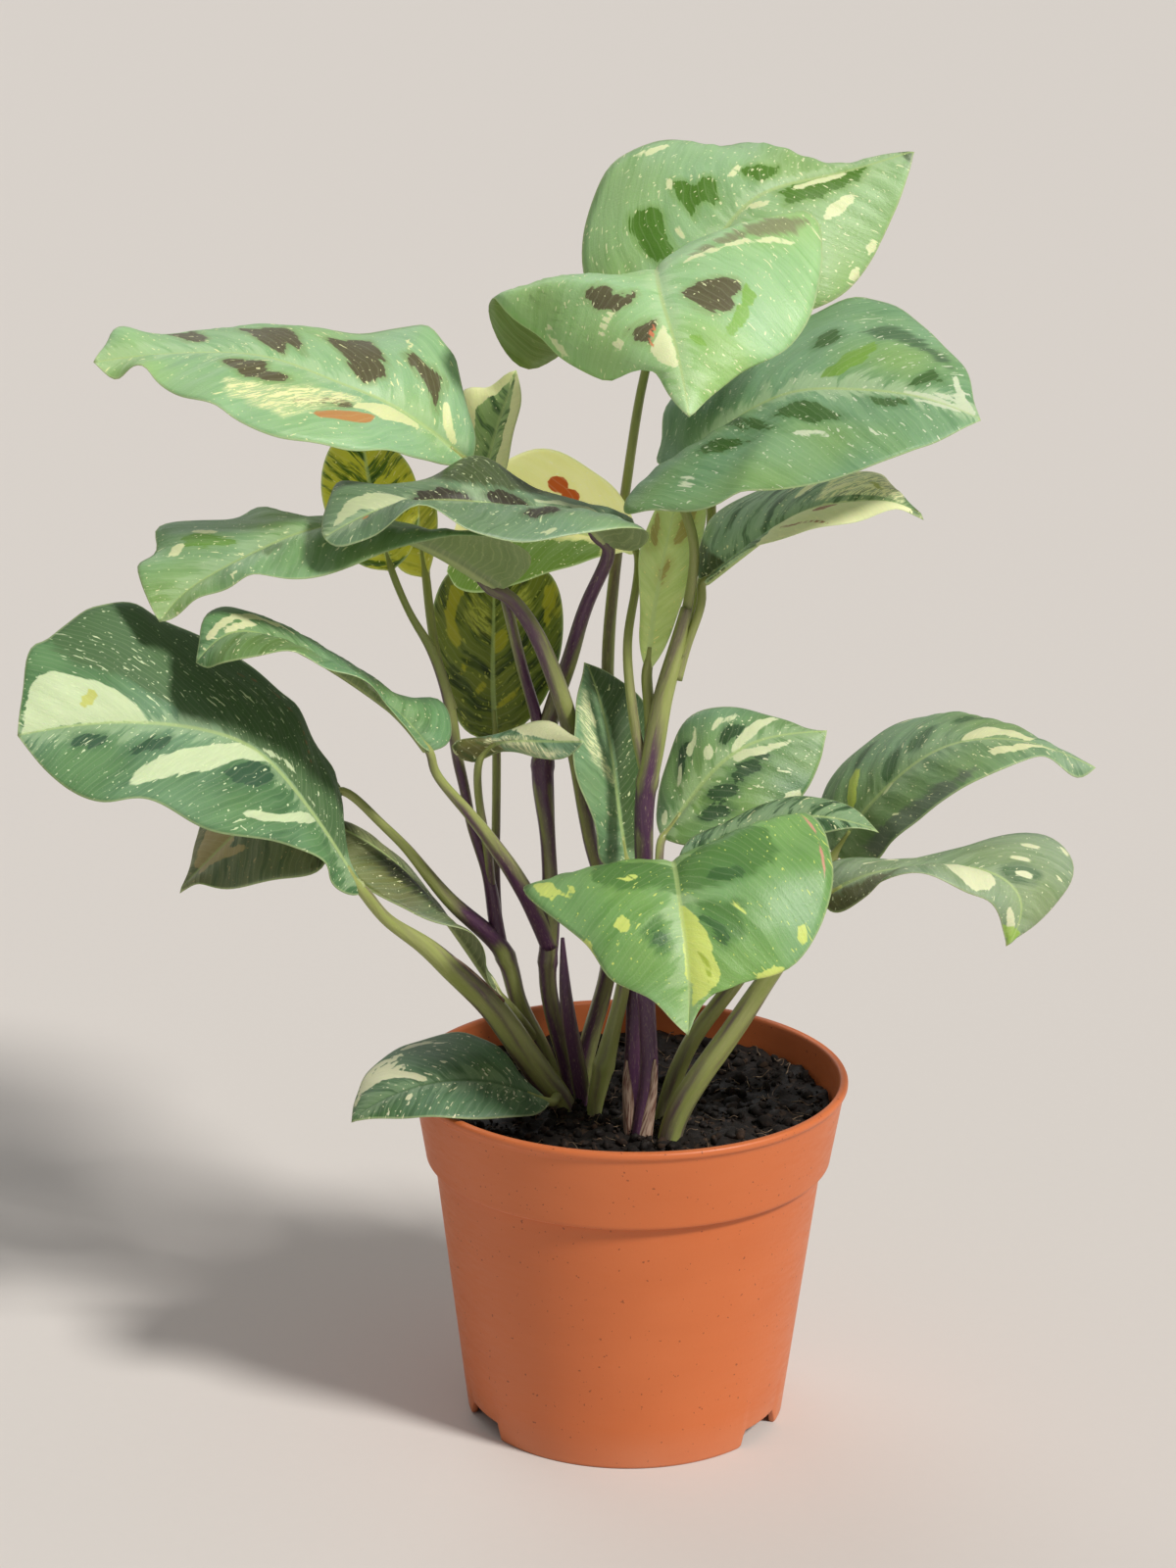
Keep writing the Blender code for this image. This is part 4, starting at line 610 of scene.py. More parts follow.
            (17, 20, 20, 38, 25, 52, 29, 55, 28, 44, 24, 30, 20, 18)], "cream": [
            (56, 2, 60, 14, 64, 24, 72, 30, 80, 20, 78, 4, 70, 10, 63, 3),
            (64, -45, 70, -40, 78, -30, 86, -20, 84, -40, 74, -60, 66, -62)], "shade": [
            (15, -60, 40, -70, 60, -80, 50, -110, 20, -110)]}),
    "leaf_right_low": dict(DEEP, ground="#98AC8C", deep="#6C8A62", blotch="#56764A",
        cream="#E8ECC0", gold="#9CC24A", shade="#5E5A34", under="#5C4E22", through=0.1,
        strokes={"cream": [(66, 30, 70, 42, 0.8), (72, 18, 75, 30, 0.8), (64, 55, 67, 66, 0.8),
            (69, 93, 71, 97, 0.9), (20, 50, 30, 50, 0.7), (84, -60, 94, -50, 1.2)],
            "blotch": [(70, 12, 74, 35, 2)]},
        patches={"cream": [
            (50, -10, 57, -2, 64, -4, 69, -15, 73, -40, 73.5, -75, 70, -90, 64, -75, 58, -55,
             53, -30)], "gold": [
            (90, -110, 92, -20, 94, 50, 102, 50, 102, -110)], "shade": [
            (0, -15, 15, -20, 38, -40, 42, -110, 0, -110)]}),
    "leaf_new": dict(YELLOW, ground="#CBDC88", deep="#B0C86A", blotch="#A29850", halo="#B2BC66",
        warm="#C8D268", cool="#C4D89A", flecks=0.0, marble=0.0, painted_glow=0.14,
        strokes={"blotch": [(66, 50, 80, 70, 1.6), (70, -35, 84, -60, 1.8), (50, -5, 60, -20, 1)]}),
}

# Marks by colour: three are kept in a blade's field "marks" and the others in "tones", where
# shade is painted shade. A point without any lies this far outside them, in millimetres.
MARK_COLOURS = ("blotch", "cream", "tan", "gold", "shade", "dapple")
UNMARKED = 12.0

# Relief of a blade, in millimetres. A vein leans forward by a share of its distance from
# the midrib and by a little of that distance's square.
VEIN_LEAN = 0.55
VEIN_CURVE = 0.012
PLEAT_PITCH = 7.6
VEIN_PITCH = 2.1
WAVE_LENGTH = 11.0
PLEAT_HEIGHT = 0.24
RIB_GROOVE = 0.42
WAVE_HEIGHT = 1.5
BLADE_ROWS = (24, 84)
HALF_COLUMNS = (8, 20)

# Patterns of a blade, as millimetres from one like spot to the next. Streaks, flecks
# and pits are finer on a real leaf, and are drawn coarse enough to show on the whole plant.
TONE_SIZE = 28.57
CLOUD_SIZE = 16.67
VEIN_DRIFT = 11.11
STREAK_SIZE = 2.381
FLECK_SIZE = 1.0526
DOT_SIZE = 0.7692
FINE_STREAK_SIZE = 0.5882
PIT_SIZE = 0.4545

MATH = "ShaderNodeMath"
MIX = "ShaderNodeMix"
RANGE = "ShaderNodeMapRange"
NOISE = "ShaderNodeTexNoise"
VECTOR = "ShaderNodeVectorMath"
COMBINE = "ShaderNodeCombineXYZ"
SEPARATE = "ShaderNodeSeparateXYZ"
FIELD = "ShaderNodeAttribute"
PLACE = "ShaderNodeTexCoord"
BUMP = "ShaderNodeBump"


def linear(code):
    """The linear colour of an sRGB hex code."""
    channels = [int(code[i:i + 2], 16) / 255 for i in (1, 3, 5)]
    return (*[c / 12.92 if c <= 0.04045 else ((c + 0.055) / 1.055) ** 2.4 for c in channels],
            1.0)


def node(tree, kind, inputs, out=0, **settings):
    """Adds a node with its settings and links, and returns one output, or all for None.

    An input takes another node's output, a value, or the hex code of a colour.
    """
    made = tree.nodes.new(kind)
    for name, value in settings.items():
        setattr(made, name, value)
    for name, value in inputs.items():
        if isinstance(value, bpy.types.NodeSocket):
            tree.links.new(value, made.inputs[name])
        else:
            made.inputs[name].default_value = linear(value) if isinstance(value, str) else value
    return made.outputs if out is None else made.outputs[out]


def lay_over(tree, below, *layers):
    """Lays colours over the one below, each with the share of it that shows."""
    for share, colour in layers:
        below = node(tree, MIX, {0: share, 6: below, 7: colour}, 2, data_type="RGBA")
    return below


def lay_marks(tree, below, *marks):
    """Lays colours over the one below inside soft, ragged borders.

    A mark's distance in millimetres, plus its raggedness times a weight, is under the edge
    inside the mark. The border is twice as wide as soft, and strength is the share inside.
    """
    for distance, ragged, weight, edge, soft, strength, colour in marks:
        gap = node(tree, MATH, {0: ragged, 1: weight, 2: distance}, operation="MULTIPLY_ADD")
        share = node(tree, RANGE, {"Value": gap, "From Min": edge - soft,
                                   "From Max": edge + soft, "To Min": strength,
                                   "To Max": 0.0}, interpolation_type="SMOOTHSTEP")
        below = lay_over(tree, below, (share, colour))
    return below


def new_material(name, **constants):
    """A material with a shader whose sockets take the given constants."""
    material = bpy.data.materials.new(name)
    material.use_nodes = True
    tree = material.node_tree
    shader = tree.nodes["Principled BSDF"]
    for socket, value in constants.items():
        shader.inputs[socket.replace("_", " ")].default_value = value
    return material, tree, shader


def finish_shader(tree, shader, relief=None, **links):
    """Links the shader's sockets, with a bump of some strength, depth in mm and height."""
    if relief:
        strength, depth, height = relief
        links["Normal"] = node(tree, BUMP, {"Strength": strength, "Distance": depth * MM,
                                            "Height": height})
    for socket, output in links.items():
        tree.links.new(output, shader.inputs[socket.replace("_", " ")])


def add_mesh(name, points, faces, material, **fields):
    """A smooth piece from points in millimetres, with three values per field and point."""
    mesh = bpy.data.meshes.new(name)
    mesh.from_pydata((np.asarray(points, float) * MM).tolist(), [], faces)
    for key, values in fields.items():
        mesh.attributes.new(key, "FLOAT_VECTOR", "POINT")
        mesh.attributes[key].data.foreach_set("vector", np.float32(values).ravel())
    bm = bmesh.new()
    bm.from_mesh(mesh)
    bmesh.ops.recalc_face_normals(bm, faces=bm.faces)
    bm.to_mesh(mesh)
    bm.free()
    mesh.polygons.foreach_set("use_smooth", [True] * len(mesh.polygons))
    mesh.materials.append(material)
    piece = bpy.data.objects.new(name, mesh)
    bpy.context.scene.collection.objects.link(piece)
    return piece


def keep(piece, *nodes, slot=None):
    """Puts a finished piece on the plant in the place of its plain solids."""
    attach(piece, "root")
    if nodes:
        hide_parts(*nodes)


def lathe(profile, segments, closed=True):
    """Points, rings and faces of a turned form whose profile is rows of radius and height."""
    points, rings, faces = [], [], []
    for radius, z in profile:
        first = len(points)
        if radius == 0.0:
            rings.append([first] * segments)
            points.append([0.0, 0.0, z])
            continue
        rings.append(list(range(first, first + segments)))
        for k in range(segments):
            turn = 2 * math.pi * k / segments
            points.append([radius * math.cos(turn), radius * math.sin(turn), z])
    for a, b in zip(rings, rings[1:] + (rings[:1] if closed else [])):
        for k in range(segments):
            m = (k + 1) % segments
            face = list(dict.fromkeys([a[k], a[m], b[m], b[k]]))
            if len(face) > 2:
                faces.append(face)
    return points, rings, faces


def smooth_curve(points):
    """A natural cubic spline through the points. The first three columns give its speed."""
    p = np.asarray(points, float)
    gaps = np.linalg.norm(np.diff(p[:, :3], axis=0), axis=1) ** 0.5
    knots = np.concatenate([[0.0], np.cumsum(gaps)])
    last = len(p) - 1
    system = np.zeros((last + 1, last + 1))
    target = np.zeros_like(p)
    system[0, 0] = system[last, last] = 1.0
    for i in range(1, last):
        before, after = gaps[i - 1], gaps[i]
        system[i, i - 1:i + 2] = before, 2 * (before + after), after
        target[i] = 3 * ((p[i + 1] - p[i]) / after - (p[i] - p[i - 1]) / before)
    bend = np.linalg.solve(system, target)

    def at(x):
        i = np.clip(np.searchsorted(knots, x, side="right") - 1, 0, last - 1)
        s, h = (x - knots[i])[:, None], gaps[i][:, None]
        slope = (p[i + 1] - p[i]) / h - h * (2 * bend[i] + bend[i + 1]) / 3
        return p[i] + slope * s + bend[i] * s**2 + (bend[i + 1] - bend[i]) / (3 * h) * s**3

    return at, knots[-1]


def even_points(points, count=None, step=None):
    """Points at equal distances along the smooth curve through the given points."""
    at, end = smooth_curve(points)
    x = np.linspace(0, end, 400)
    run = np.linalg.norm(np.diff(at(x)[:, :3], axis=0), axis=1)
    length = np.concatenate([[0.0], np.cumsum(run)])
    if count is None:
        count = max(3, int(round(length[-1] / step)))
    return at(np.interp(np.linspace(0, length[-1], count + 1), length, x))


def unit_rows(vectors):
    """The same directions with length 1."""
    size = np.linalg.norm(vectors, axis=-1, keepdims=True)
    return vectors / np.maximum(size, 1e-9)


def ease(x, low, high):
    """A soft step from 0 at low to 1 at high."""
    s = np.clip((x - low) / (high - low), 0.0, 1.0)
    return s * s * (3 - 2 * s)


def blade_surface(leaf, rows, shares):
    """The blade's middle surface: rows from base to tip, columns from right to left."""
    base, tip = leaf["rib"][0], leaf["rib"][-1]
    rib = even_points(leaf["rib"], rows)
    left = even_points([base, *leaf["left"], tip], rows)
    right = even_points([base, *leaf["right"], tip], rows)
    up = unit_rows(np.cross(np.gradient(rib, axis=0), left - right))
    edge = max(2, rows // 10)
    up[:edge], up[-edge:] = up[edge], up[-edge - 1]
    bulge_left, bulge_right = leaf.get("bulge", (0.07, 0.07))
    grid = np.empty((rows + 1, len(shares), 3))
    reach = np.empty((rows + 1, len(shares)))
    for j, v in enumerate(shares):
        margin, bulge = (left, bulge_left) if v >= 0 else (right, bulge_right)
        width = np.linalg.norm(margin - rib, axis=1)
        part = abs(v)
        grid[:, j] = rib + (margin - rib) * part + up * (
            width * bulge * 4 * part * (1 - part))[:, None]
        reach[:, j] = width
    length = np.linalg.norm(np.diff(rib, axis=0), axis=1).sum()
    return grid, reach, length


def grid_normals(grid):
    """The direction that each point of a blade faces, with one for all at base and tip."""
    normals = unit_rows(np.cross(np.gradient(grid, axis=0), np.gradient(grid, axis=1)))
    normals[0] = unit_rows(normals[1].mean(axis=0))
    normals[-1] = unit_rows(normals[-2].mean(axis=0))
    return normals


def place_on(grid, shares, t, v):
    """The point of the blade at t and v."""
    row = t * (len(grid) - 1)
    i = min(int(row), len(grid) - 2)
    line = grid[i] + (grid[i + 1] - grid[i]) * (row - i)
    return np.array([np.interp(v, shares, line[:, k]) for k in range(3)])


def distance_to_line(grid, line, widths):
    """How far each point of the blade is outside a band of the given half widths."""
    best = np.full(grid.shape[:2], 99.0)
    for a, b, wide_a, wide_b in zip(line, line[1:], widths, widths[1:]):
        step = b - a
        along = np.clip(((grid - a) @ step) / max(step @ step, 1e-6), 0, 1)
        gap = np.linalg.norm(grid - a - along[..., None] * step, axis=2)
        best = np.minimum(best, gap - wide_a - (wide_b - wide_a) * along)
    return best


def inside_outline(t, v, outline):
    """Which points of the blade lie inside a closed outline of t and v."""
    found = np.zeros(np.broadcast(t, v).shape, bool)
    for (t1, v1), (t2, v2) in zip(outline, outline[1:]):
        if v1 == v2:
            continue
        crossing = (v1 > v) != (v2 > v)
        found ^= crossing & (t < t1 + (v - v1) * (t2 - t1) / (v2 - v1))
    return found


def paint_fields(paint, grid, shares):
    """Signed distances in millimetres to the marks of each colour on a blade."""
    fields = {colour: np.full(grid.shape[:2], UNMARKED) for colour in MARK_COLOURS}
    steps = np.linspace(0, 1, 7)
    for colour, strokes in paint.get("strokes", {}).items():
        for *ends, half in strokes:
            t1, v1, t2, v2 = np.array(ends) / 100
            line = [place_on(grid, shares, t1 + (t2 - t1) * u, v1 + (v2 - v1) * u)
                    for u in steps]
            widths = half * (0.6 + 0.4 * np.sin(math.pi * steps))
            gap = distance_to_line(grid, line, widths)
            fields[colour] = np.minimum(fields[colour], gap)
    t = np.linspace(0, 1, len(grid))[:, None]
    for colour, patches in paint.get("patches", {}).items():
        for patch in patches:
            corners = np.array([*patch, *patch[:2]]).reshape(-1, 2) / 100
            line = [place_on(grid, shares, *corner) for corner in corners]
            gap = distance_to_line(grid, line, [0.0] * len(line))
            sign = np.where(inside_outline(t, shares, corners), -1.0, 1.0)
            fields[colour] = np.minimum(fields[colour], gap * sign)
    return np.stack([fields[colour] for colour in MARK_COLOURS], axis=2)


def blade_lift(seed, t, share, run, across, vein, margin):
    """How far a blade rises: pleats along its veins, a groove over the midrib, a waved edge."""
    off = np.abs(across)
    lift = PLEAT_HEIGHT * np.cos(2 * math.pi * vein / PLEAT_PITCH + np.sign(share)) * ease(
        margin, 0.0, 6.0) * ease(off, 1.0, 7.0)
    lift -= RIB_GROOVE * np.exp(-(off / 1.5) ** 2) * ease(1 - t, 0.02, 0.3)
    wave = [noise.noise(Vector((x, y, seed)) / WAVE_LENGTH)
            for x, y in zip(run.flat, across.flat)]
    return lift + np.reshape(wave, t.shape) * WAVE_HEIGHT * ease(
        np.abs(share), 0.35, 1.0) * ease(t, 0.03, 0.2)


def sheet_faces(top, under):
    """Faces of a closed sheet between the numbered points of its two sides."""
    faces = []
    for i in range(len(top) - 1):
        for j in range(len(top[0]) - 1):
            faces.append([top[i][j], top[i + 1][j], top[i + 1][j + 1], top[i][j + 1]])
            faces.append([under[i][j], under[i][j + 1], under[i + 1][j + 1], under[i + 1][j]])
        for j in (0, -1):
            faces.append([top[i][j], under[i][j], under[i + 1][j], top[i + 1][j]])
    return [list(dict.fromkeys(face)) for face in faces]


def add_blade(name, leaf, paint, material, pitch, thickness):
    """A thin closed blade with a ridged midrib, pleats along its veins and a soft margin."""
    _, reach, length = blade_surface(leaf, BLADE_ROWS[0], np.linspace(-1, 1, 3))
    rows = int(np.clip(length / pitch, *BLADE_ROWS))
    half = int(np.clip(reach.max() / pitch, *HALF_COLUMNS))
    one = np.linspace(0, 1, half + 1) ** 1.25
    shares = np.concatenate([-one[:0:-1], one])
    flat, reach, length = blade_surface(leaf, rows, shares)
    t, share = np.meshgrid(np.linspace(0, 1, rows + 1), shares, indexing="ij")
    run, across = t * length, share * reach
    off = np.abs(across)
    vein = run - VEIN_LEAN * off - VEIN_CURVE * off**2
    margin = np.minimum((1 - np.abs(share)) * reach, (1 - t) * length)
    seed = (sum(ord(letter) for letter in name) % 89) * 1.7
    lift = blade_lift(seed, t, share, run, across, vein, margin)
    grid = flat + grid_normals(flat) * lift[..., None]

    # Both sides, thinner at the margin and with the midrib standing out underneath. The
    # base and the tip are one point each.
    normal = grid_normals(grid)
    thin = thickness / 2 * (0.35 + 0.65 * ease(margin, 0.0, 1.6))
    rib_height = (0.3 + 0.9 * (1 - t)) * ease(1 - t, 0.0, 0.12) * np.exp(
        -(off / (0.35 + 0.75 * (1 - t))) ** 2)
    used = np.ones(t.shape, bool)
    used[[0, -1], 1:] = False
    number = np.cumsum(used).reshape(t.shape) - 1
    faces = sheet_faces(number.tolist(), (number + used.sum()).tolist())
    points = np.concatenate([(grid + normal * thin[..., None])[used],
                             (grid - normal * (thin + rib_height)[..., None])[used]])
    place = np.stack([run, across], axis=2)[used]
    sides = np.repeat([0.0, 1.0], len(place))[:, None]
    veins = np.stack([vein, margin, t], axis=2)[used]
    marks = np.tile(paint_fields(paint, flat, shares)[used], (2, 1))
    return add_mesh(name, points, faces, material,
                    blade=np.hstack([np.tile(place, (2, 1)), sides]),
                    veins=np.tile(veins, (2, 1)), marks=marks[:, :3], tones=marks[:, 3:])


def leaf_patterns(tree, seed):
    """What varies over a blade: the fields on its points, grain, clouds, bands and veins."""
    add = partial(node, tree)
    blade, veins, marks, tones = [
        add(SEPARATE, {0: add(FIELD, {}, "Vector", attribute_name=field)}, None)
        for field in ("blade", "veins", "marks", "tones")]
    off = add(MATH, {0: blade["Y"]}, operation="ABSOLUTE")
    side = add(MATH, {0: blade["Y"]}, operation="SIGN")
    half = add(MATH, {0: side, 1: 31.0, 2: seed}, operation="MULTIPLY_ADD")
    place = add(COMBINE, {"X": blade["X"], "Y": blade["Y"], "Z": seed})

    # Grain follows the veins, which drift a little. It differs in the blade's two halves.
    drift = add(NOISE, {"Vector": place, "Scale": 1 / VEIN_DRIFT, "Detail": 2.0}, "Fac")
    course = add(MATH, {0: drift, 1: 5.0, 2: veins["X"]}, operation="MULTIPLY_ADD")
    grain, fleck_grain = [
        add(COMBINE, {"X": course, "Z": half,
                      "Y": add(MATH, {0: off, 1: slow}, operation="MULTIPLY")})
        for slow in (0.2, 0.42)]
    streak, fine, cloud, fleck = [
        add(NOISE, {"Vector": where, "Scale": 1 / size, "Detail": detail,
                    "Roughness": rough}, "Fac")
        for where, size, detail, rough in (
            (grain, STREAK_SIZE, 4.0, 0.6), (grain, FINE_STREAK_SIZE, 3.0, 0.65),
            (place, CLOUD_SIZE, 3.0, 0.5), (fleck_grain, FLECK_SIZE, 1.5, 0.5))]
    fleck = add(MATH, {0: cloud, 1: 0.22, 2: fleck}, operation="MULTIPLY_ADD")
    band, line = [
        add(MATH, {0: add(MATH, {0: course, 1: 2 * math.pi / pitch}, operation="MULTIPLY")},
            operation="COSINE") for pitch in (PLEAT_PITCH, VEIN_PITCH)]
    return SimpleNamespace(side=blade["Z"], run=veins["Z"], margin=veins["Y"], marks=marks,
                           tones=tones, off=off, place=place, streak=streak, fine=fine,
                           cloud=cloud, fleck=fleck, band=band, line=line)


def leaf_flesh(tree, paint, p):
    """The blade's green from its deep and raised bands, with warmer parts, painted shade and darker
    sectors.
    """
    add = partial(node, tree)
    shade = add(MATH, {0: p.band, 1: 0.02, 2: p.streak}, operation="MULTIPLY_ADD")
    cloudy = add(MATH, {0: p.cloud, 1: 0.55, 2: shade}, operation="MULTIPLY_ADD")
    deepness = add(RANGE, {"Value": cloudy, "From Min": 0.66, "From Max": 1.06,
                           "To Max": 0.75}, interpolation_type="SMOOTHSTEP")

    # Warmer and cooler parts, some centimetres across, as on any living blade.
    broad = add(NOISE, {"Vector": p.place, "Scale": 1 / TONE_SIZE, "Detail": 1.0}, "Color")
    broad = add(SEPARATE, {0: broad}, None)
    warm, cool = [add(RANGE, {"Value": broad[axis], "From Min": 0.46, "From Max": 0.68,
                              "To Max": most}) for axis, most in (("X", 0.4), ("Y", 0.3))]
    colour = lay_over(tree, paint["ground"], (deepness, paint["deep"]),
                      (warm, paint["warm"]), (cool, paint["cool"]))

    # A paler feathered zone beside the midrib, and painted shade where a blade lies in shadow or turns
    # away from the light.
    colour = lay_marks(tree, colour,
                       (p.off, p.streak, 22.0, 14.5, 1.6, paint["feather"], "#CFE4B8"),
                       (p.tones["Y"], p.streak, 8.0, 4.2, 1.4, 0.85, paint["shade"]))

    # Sectors of darker cells that follow the veins on the mottled blades.
    mottle, dark = [add(RANGE, {"Value": p.streak, "From Min": low, "From Max": high,
                                "To Max": paint["marble"]})
                    for low, high in ((0.5, 0.56), (0.6, 0.64))]
    return lay_over(tree, colour, (mottle, paint["halo"]), (dark, paint["blotch"]))


def leaf_marks(tree, paint, p, colour):
    """Blotches in softer darker rings, cream sectors and flecks, yellowed and dead tissue."""
    add = partial(node, tree)
    rag = add(MATH, {0: p.streak, 1: 5.0, 2: -2.5}, operation="MULTIPLY_ADD")
    bite = add(MATH, {0: p.fine, 1: 1.4, 2: rag}, operation="MULTIPLY_ADD")
    inner = lay_over(tree, paint["blotch"], (p.fine, paint["halo"]), (0.72, paint["blotch"]))
    tint = lay_over(tree, paint["cream"], (p.fine, paint["ground"]), (0.7, paint["cream"]))
    colour = lay_marks(tree, colour,
                       (p.marks["X"], bite, 1.0, 1.9, 1.1, 0.55, paint["halo"]),
                       (p.marks["X"], bite, 1.0, 0.75, 0.22, 1.0, inner),
                       (p.marks["Y"], rag, 0.45, 0.1, 0.2, 1.0, tint))
    few = 0.06 * paint["flecks"]
    small = add(RANGE, {"Value": p.fleck, "From Min": 0.845 - few, "From Max": 0.86 - few,
                        "To Max": 0.85})
    dots = add(NOISE, {"Vector": p.place, "Scale": 1 / DOT_SIZE, "Detail": 0.0}, "Fac")
    dot = add(RANGE, {"Value": dots, "From Min": 0.775, "From Max": 0.8, "To Max": 0.85})
    pale = add(MATH, {0: small, 1: dot}, operation="MAXIMUM")
    dapple = add(RANGE, {"Value": p.fine, "From Min": 0.47, "From Max": 0.53, "To Min": 0.3})
    colour = lay_over(tree, colour, (pale, paint["cream"]))
    return lay_marks(tree, colour,
                     (p.tones["Z"], p.streak, 6.0, 3.0, 1.2, dapple, paint["cream"]),
                     (p.tones["X"], rag, 0.7, 0.1, 0.3, 0.85, paint["gold"]),
                     (p.marks["Z"], rag, 0.25, 0.0, 0.25, 1.0, paint["tan"]))


def leaf_sides(tree, paint, p, colour):
    """Veins and midrib paler than the flesh, a bright margin, and a duller underside."""
    add = partial(node, tree)
    thread, under_thread = [add(RANGE, {"Value": p.line, "From Min": 0.72, "From Max": 1.0,
                                        "To Max": most}) for most in (0.07, 0.2)]
    rib_width = add(RANGE, {"Value": p.run, "To Min": 0.85, "To Max": 0.28})
    rib = (p.off, rib_width, -1.0, 0.0, 0.3, 0.6)
    colour = lay_over(tree, colour, (thread, "#E4EEC4"))
    colour = lay_marks(tree, colour, (*rib, paint.get("rib", "#B9CF86")),
                       (p.margin, p.streak, 0.0, 0.45, 0.25, 0.45, "#C9D8A0"))
    cloudy = add(RANGE, {"Value": p.streak, "From Min": 0.35, "From Max": 0.7,
                         "To Max": 0.6})
    under = lay_over(tree, paint["under"], (cloudy, "#9BA872"), (paint["through"], colour),
                     (under_thread, "#C2C88E"))
    under = lay_marks(tree, under, (*rib, "#BCC688"))
    return lay_over(tree, colour, (p.side, under))


def leaf_material(name, paint, seed):
    """Living leaf: waxy skin over green flesh, grown with arched veins and paler sectors.

    The wax gives a satin sheen; thin flesh lets light in, so a little goes on under the
    skin. Some blades also have a faint emission in their own colour, painted light that
    stands in for light coming through them. Veins arch forward from the midrib, with a pleat
    over every few of them, and stand proud by some hundredths of a millimetre over finely
    pitted skin. Leaf wax has an index of about 1.45.
    """
    material, tree, shader = new_material(
        name, Roughness=0.4, IOR=1.45, Subsurface_Weight=0.18, Subsurface_Scale=0.001,
        Subsurface_Radius=(0.6, 1.0, 0.3), Emission_Strength=paint["painted_glow"])
    p = leaf_patterns(tree, seed)
    colour = leaf_flesh(tree, paint, p)
    colour = leaf_marks(tree, paint, p, colour)
    colour = leaf_sides(tree, paint, p, colour)
    skin = node(tree, NOISE, {"Vector": p.place, "Scale": 1 / PIT_SIZE, "Detail": 3.0},
                "Fac")
    height = node(tree, MATH, {0: p.line, 1: 0.07, 2: skin}, operation="MULTIPLY_ADD")
    height = node(tree, MATH, {0: p.fine, 1: 0.6, 2: height}, operation="MULTIPLY_ADD")
    gloss = node(tree, RANGE, {"Value": p.fine, "To Min": paint["rough"] - 0.08,
                               "To Max": paint["rough"] + 0.1})
    # The emission in the blade's own colour is painted light that stands in for light coming through
    # the blade.
    finish_shader(tree, shader, (0.4, 0.25, height), Base_Color=colour, Roughness=gloss,
                  Emission_Color=colour)
    return material


def add_tube(parts, line, sides, tints=None, ribs=0, rib_depth=0.0, seed=0.0):
    """Adds a closed round tube along rows of x, y, z, radius to the parts of a piece."""
    points, faces, fields = parts
    first = len(points)
    centre, radius = line[:, :3], line[:, 3]
    tints = np.zeros(len(line)) if tints is None else tints
    along = unit_rows(np.gradient(centre, axis=0))
    across = unit_rows(np.cross(along[0], (0.0, 1.0, 0.0)))
    step = np.linalg.norm(np.diff(centre, axis=0), axis=1)
    run = np.concatenate([[0.0], np.cumsum(step)])
    for i, (middle, way, size) in enumerate(zip(centre, along, radius)):
        across = unit_rows(across - way * np.dot(across, way))
        other = np.cross(way, across)
        for k in range(sides):
            turn = 2 * math.pi * k / sides
            ray = across * math.cos(turn) + other * math.sin(turn)
            place = Vector(middle + ray * size) / TUBE_LUMPS + Vector((seed, 0, 0))
            grow = 1 + rib_depth * math.cos(ribs * turn) + 0.02 * noise.noise(place)
            points.append(middle + ray * size * grow)
            fields.append((run[i], turn * size, tints[i]))
    rows = len(centre)
    for i in range(rows - 1):
        for k in range(sides):
            a, b = first + i * sides + k, first + i * sides + (k + 1) % sides
            faces.append([a, b, b + sides, a + sides])
    faces.append([first + k for k in reversed(range(sides))])
    faces.append([first + (rows - 1) * sides + k for k in range(sides)])


def stalk_line(stalk, in_soil):
    """Fine even points along a stalk; one that carries a blade runs on under its midrib."""
    points, leaf_name = stalk
    points = list(points)
    if in_soil:
        x, y, _, radius = points[0]
        points.insert(0, (x, y, SOIL_LEVEL - SOIL_DEPTH_OF_STEMS, radius * 0.9))
    if leaf_name:
        rows = 40
        grid, _, length = blade_surface(LEAVES[leaf_name], rows, np.array([-0.5, 0.0, 0.5]))
        normal = grid_normals(grid)[:, 1]
        last = points[-1][3]
        for share, size in ((0.0, 0.95), (3.5 / length, 0.8), (8.0 / length, 0.42)):
            i = int(round(share * rows))
            sink = normal[max(i, 2)] * last * size * 0.75
            points.append((*(grid[i, 1] - sink * min(1.0, 0.35 + share * 20)), last * size))
    return even_points(points, step=STALK_STEP)


def add_shoot(name, stalks, tints, material):
    """A stem and its leaf stalks, with swollen rings and dark joints up the first ones."""
    parts = ([], [], [])
    for i, (stalk, (low, high)) in enumerate(zip(stalks, tints)):
        line = stalk_line(stalk, i == 0)
        line[:, 3] = np.maximum(line[:, 3], THINNEST_STALK)
        amount = np.linspace(low, high, len(line))
        for z, half in JOINT_RINGS.get(name, []):
            if i < 2:
                amount = np.maximum(amount, np.exp(-((line[:, 2] - z) / half) ** 2))
        for z in NODE_RINGS.get(name, []):
            if i == 0:
                line[:, 3] *= 1 + NODE_SWELL * np.exp(-((line[:, 2] - z) / NODE_HALF) ** 2)
        add_tube(parts, line, 28, amount, ribs=11, rib_depth=0.02, seed=i * 3.1)
    return add_mesh("stalks_" + name.removeprefix("shoot_"), parts[0], parts[1], material,
                    stem=parts[2])


def add_sheath_ends(material):
    """Dry, papery ends of leaf sheaths, each a thin tapering scale against its stem."""
    parts = ([], [], [])
    for number, points in enumerate(SHEATH_ENDS):
        line = even_points(points, 18)
        add_tube(parts, line, 18, np.ones(len(line)), ribs=7, rib_depth=0.05,
                 seed=number + 0.5)
    return add_mesh("sheath_ends", parts[0], parts[1], material, stem=parts[2])


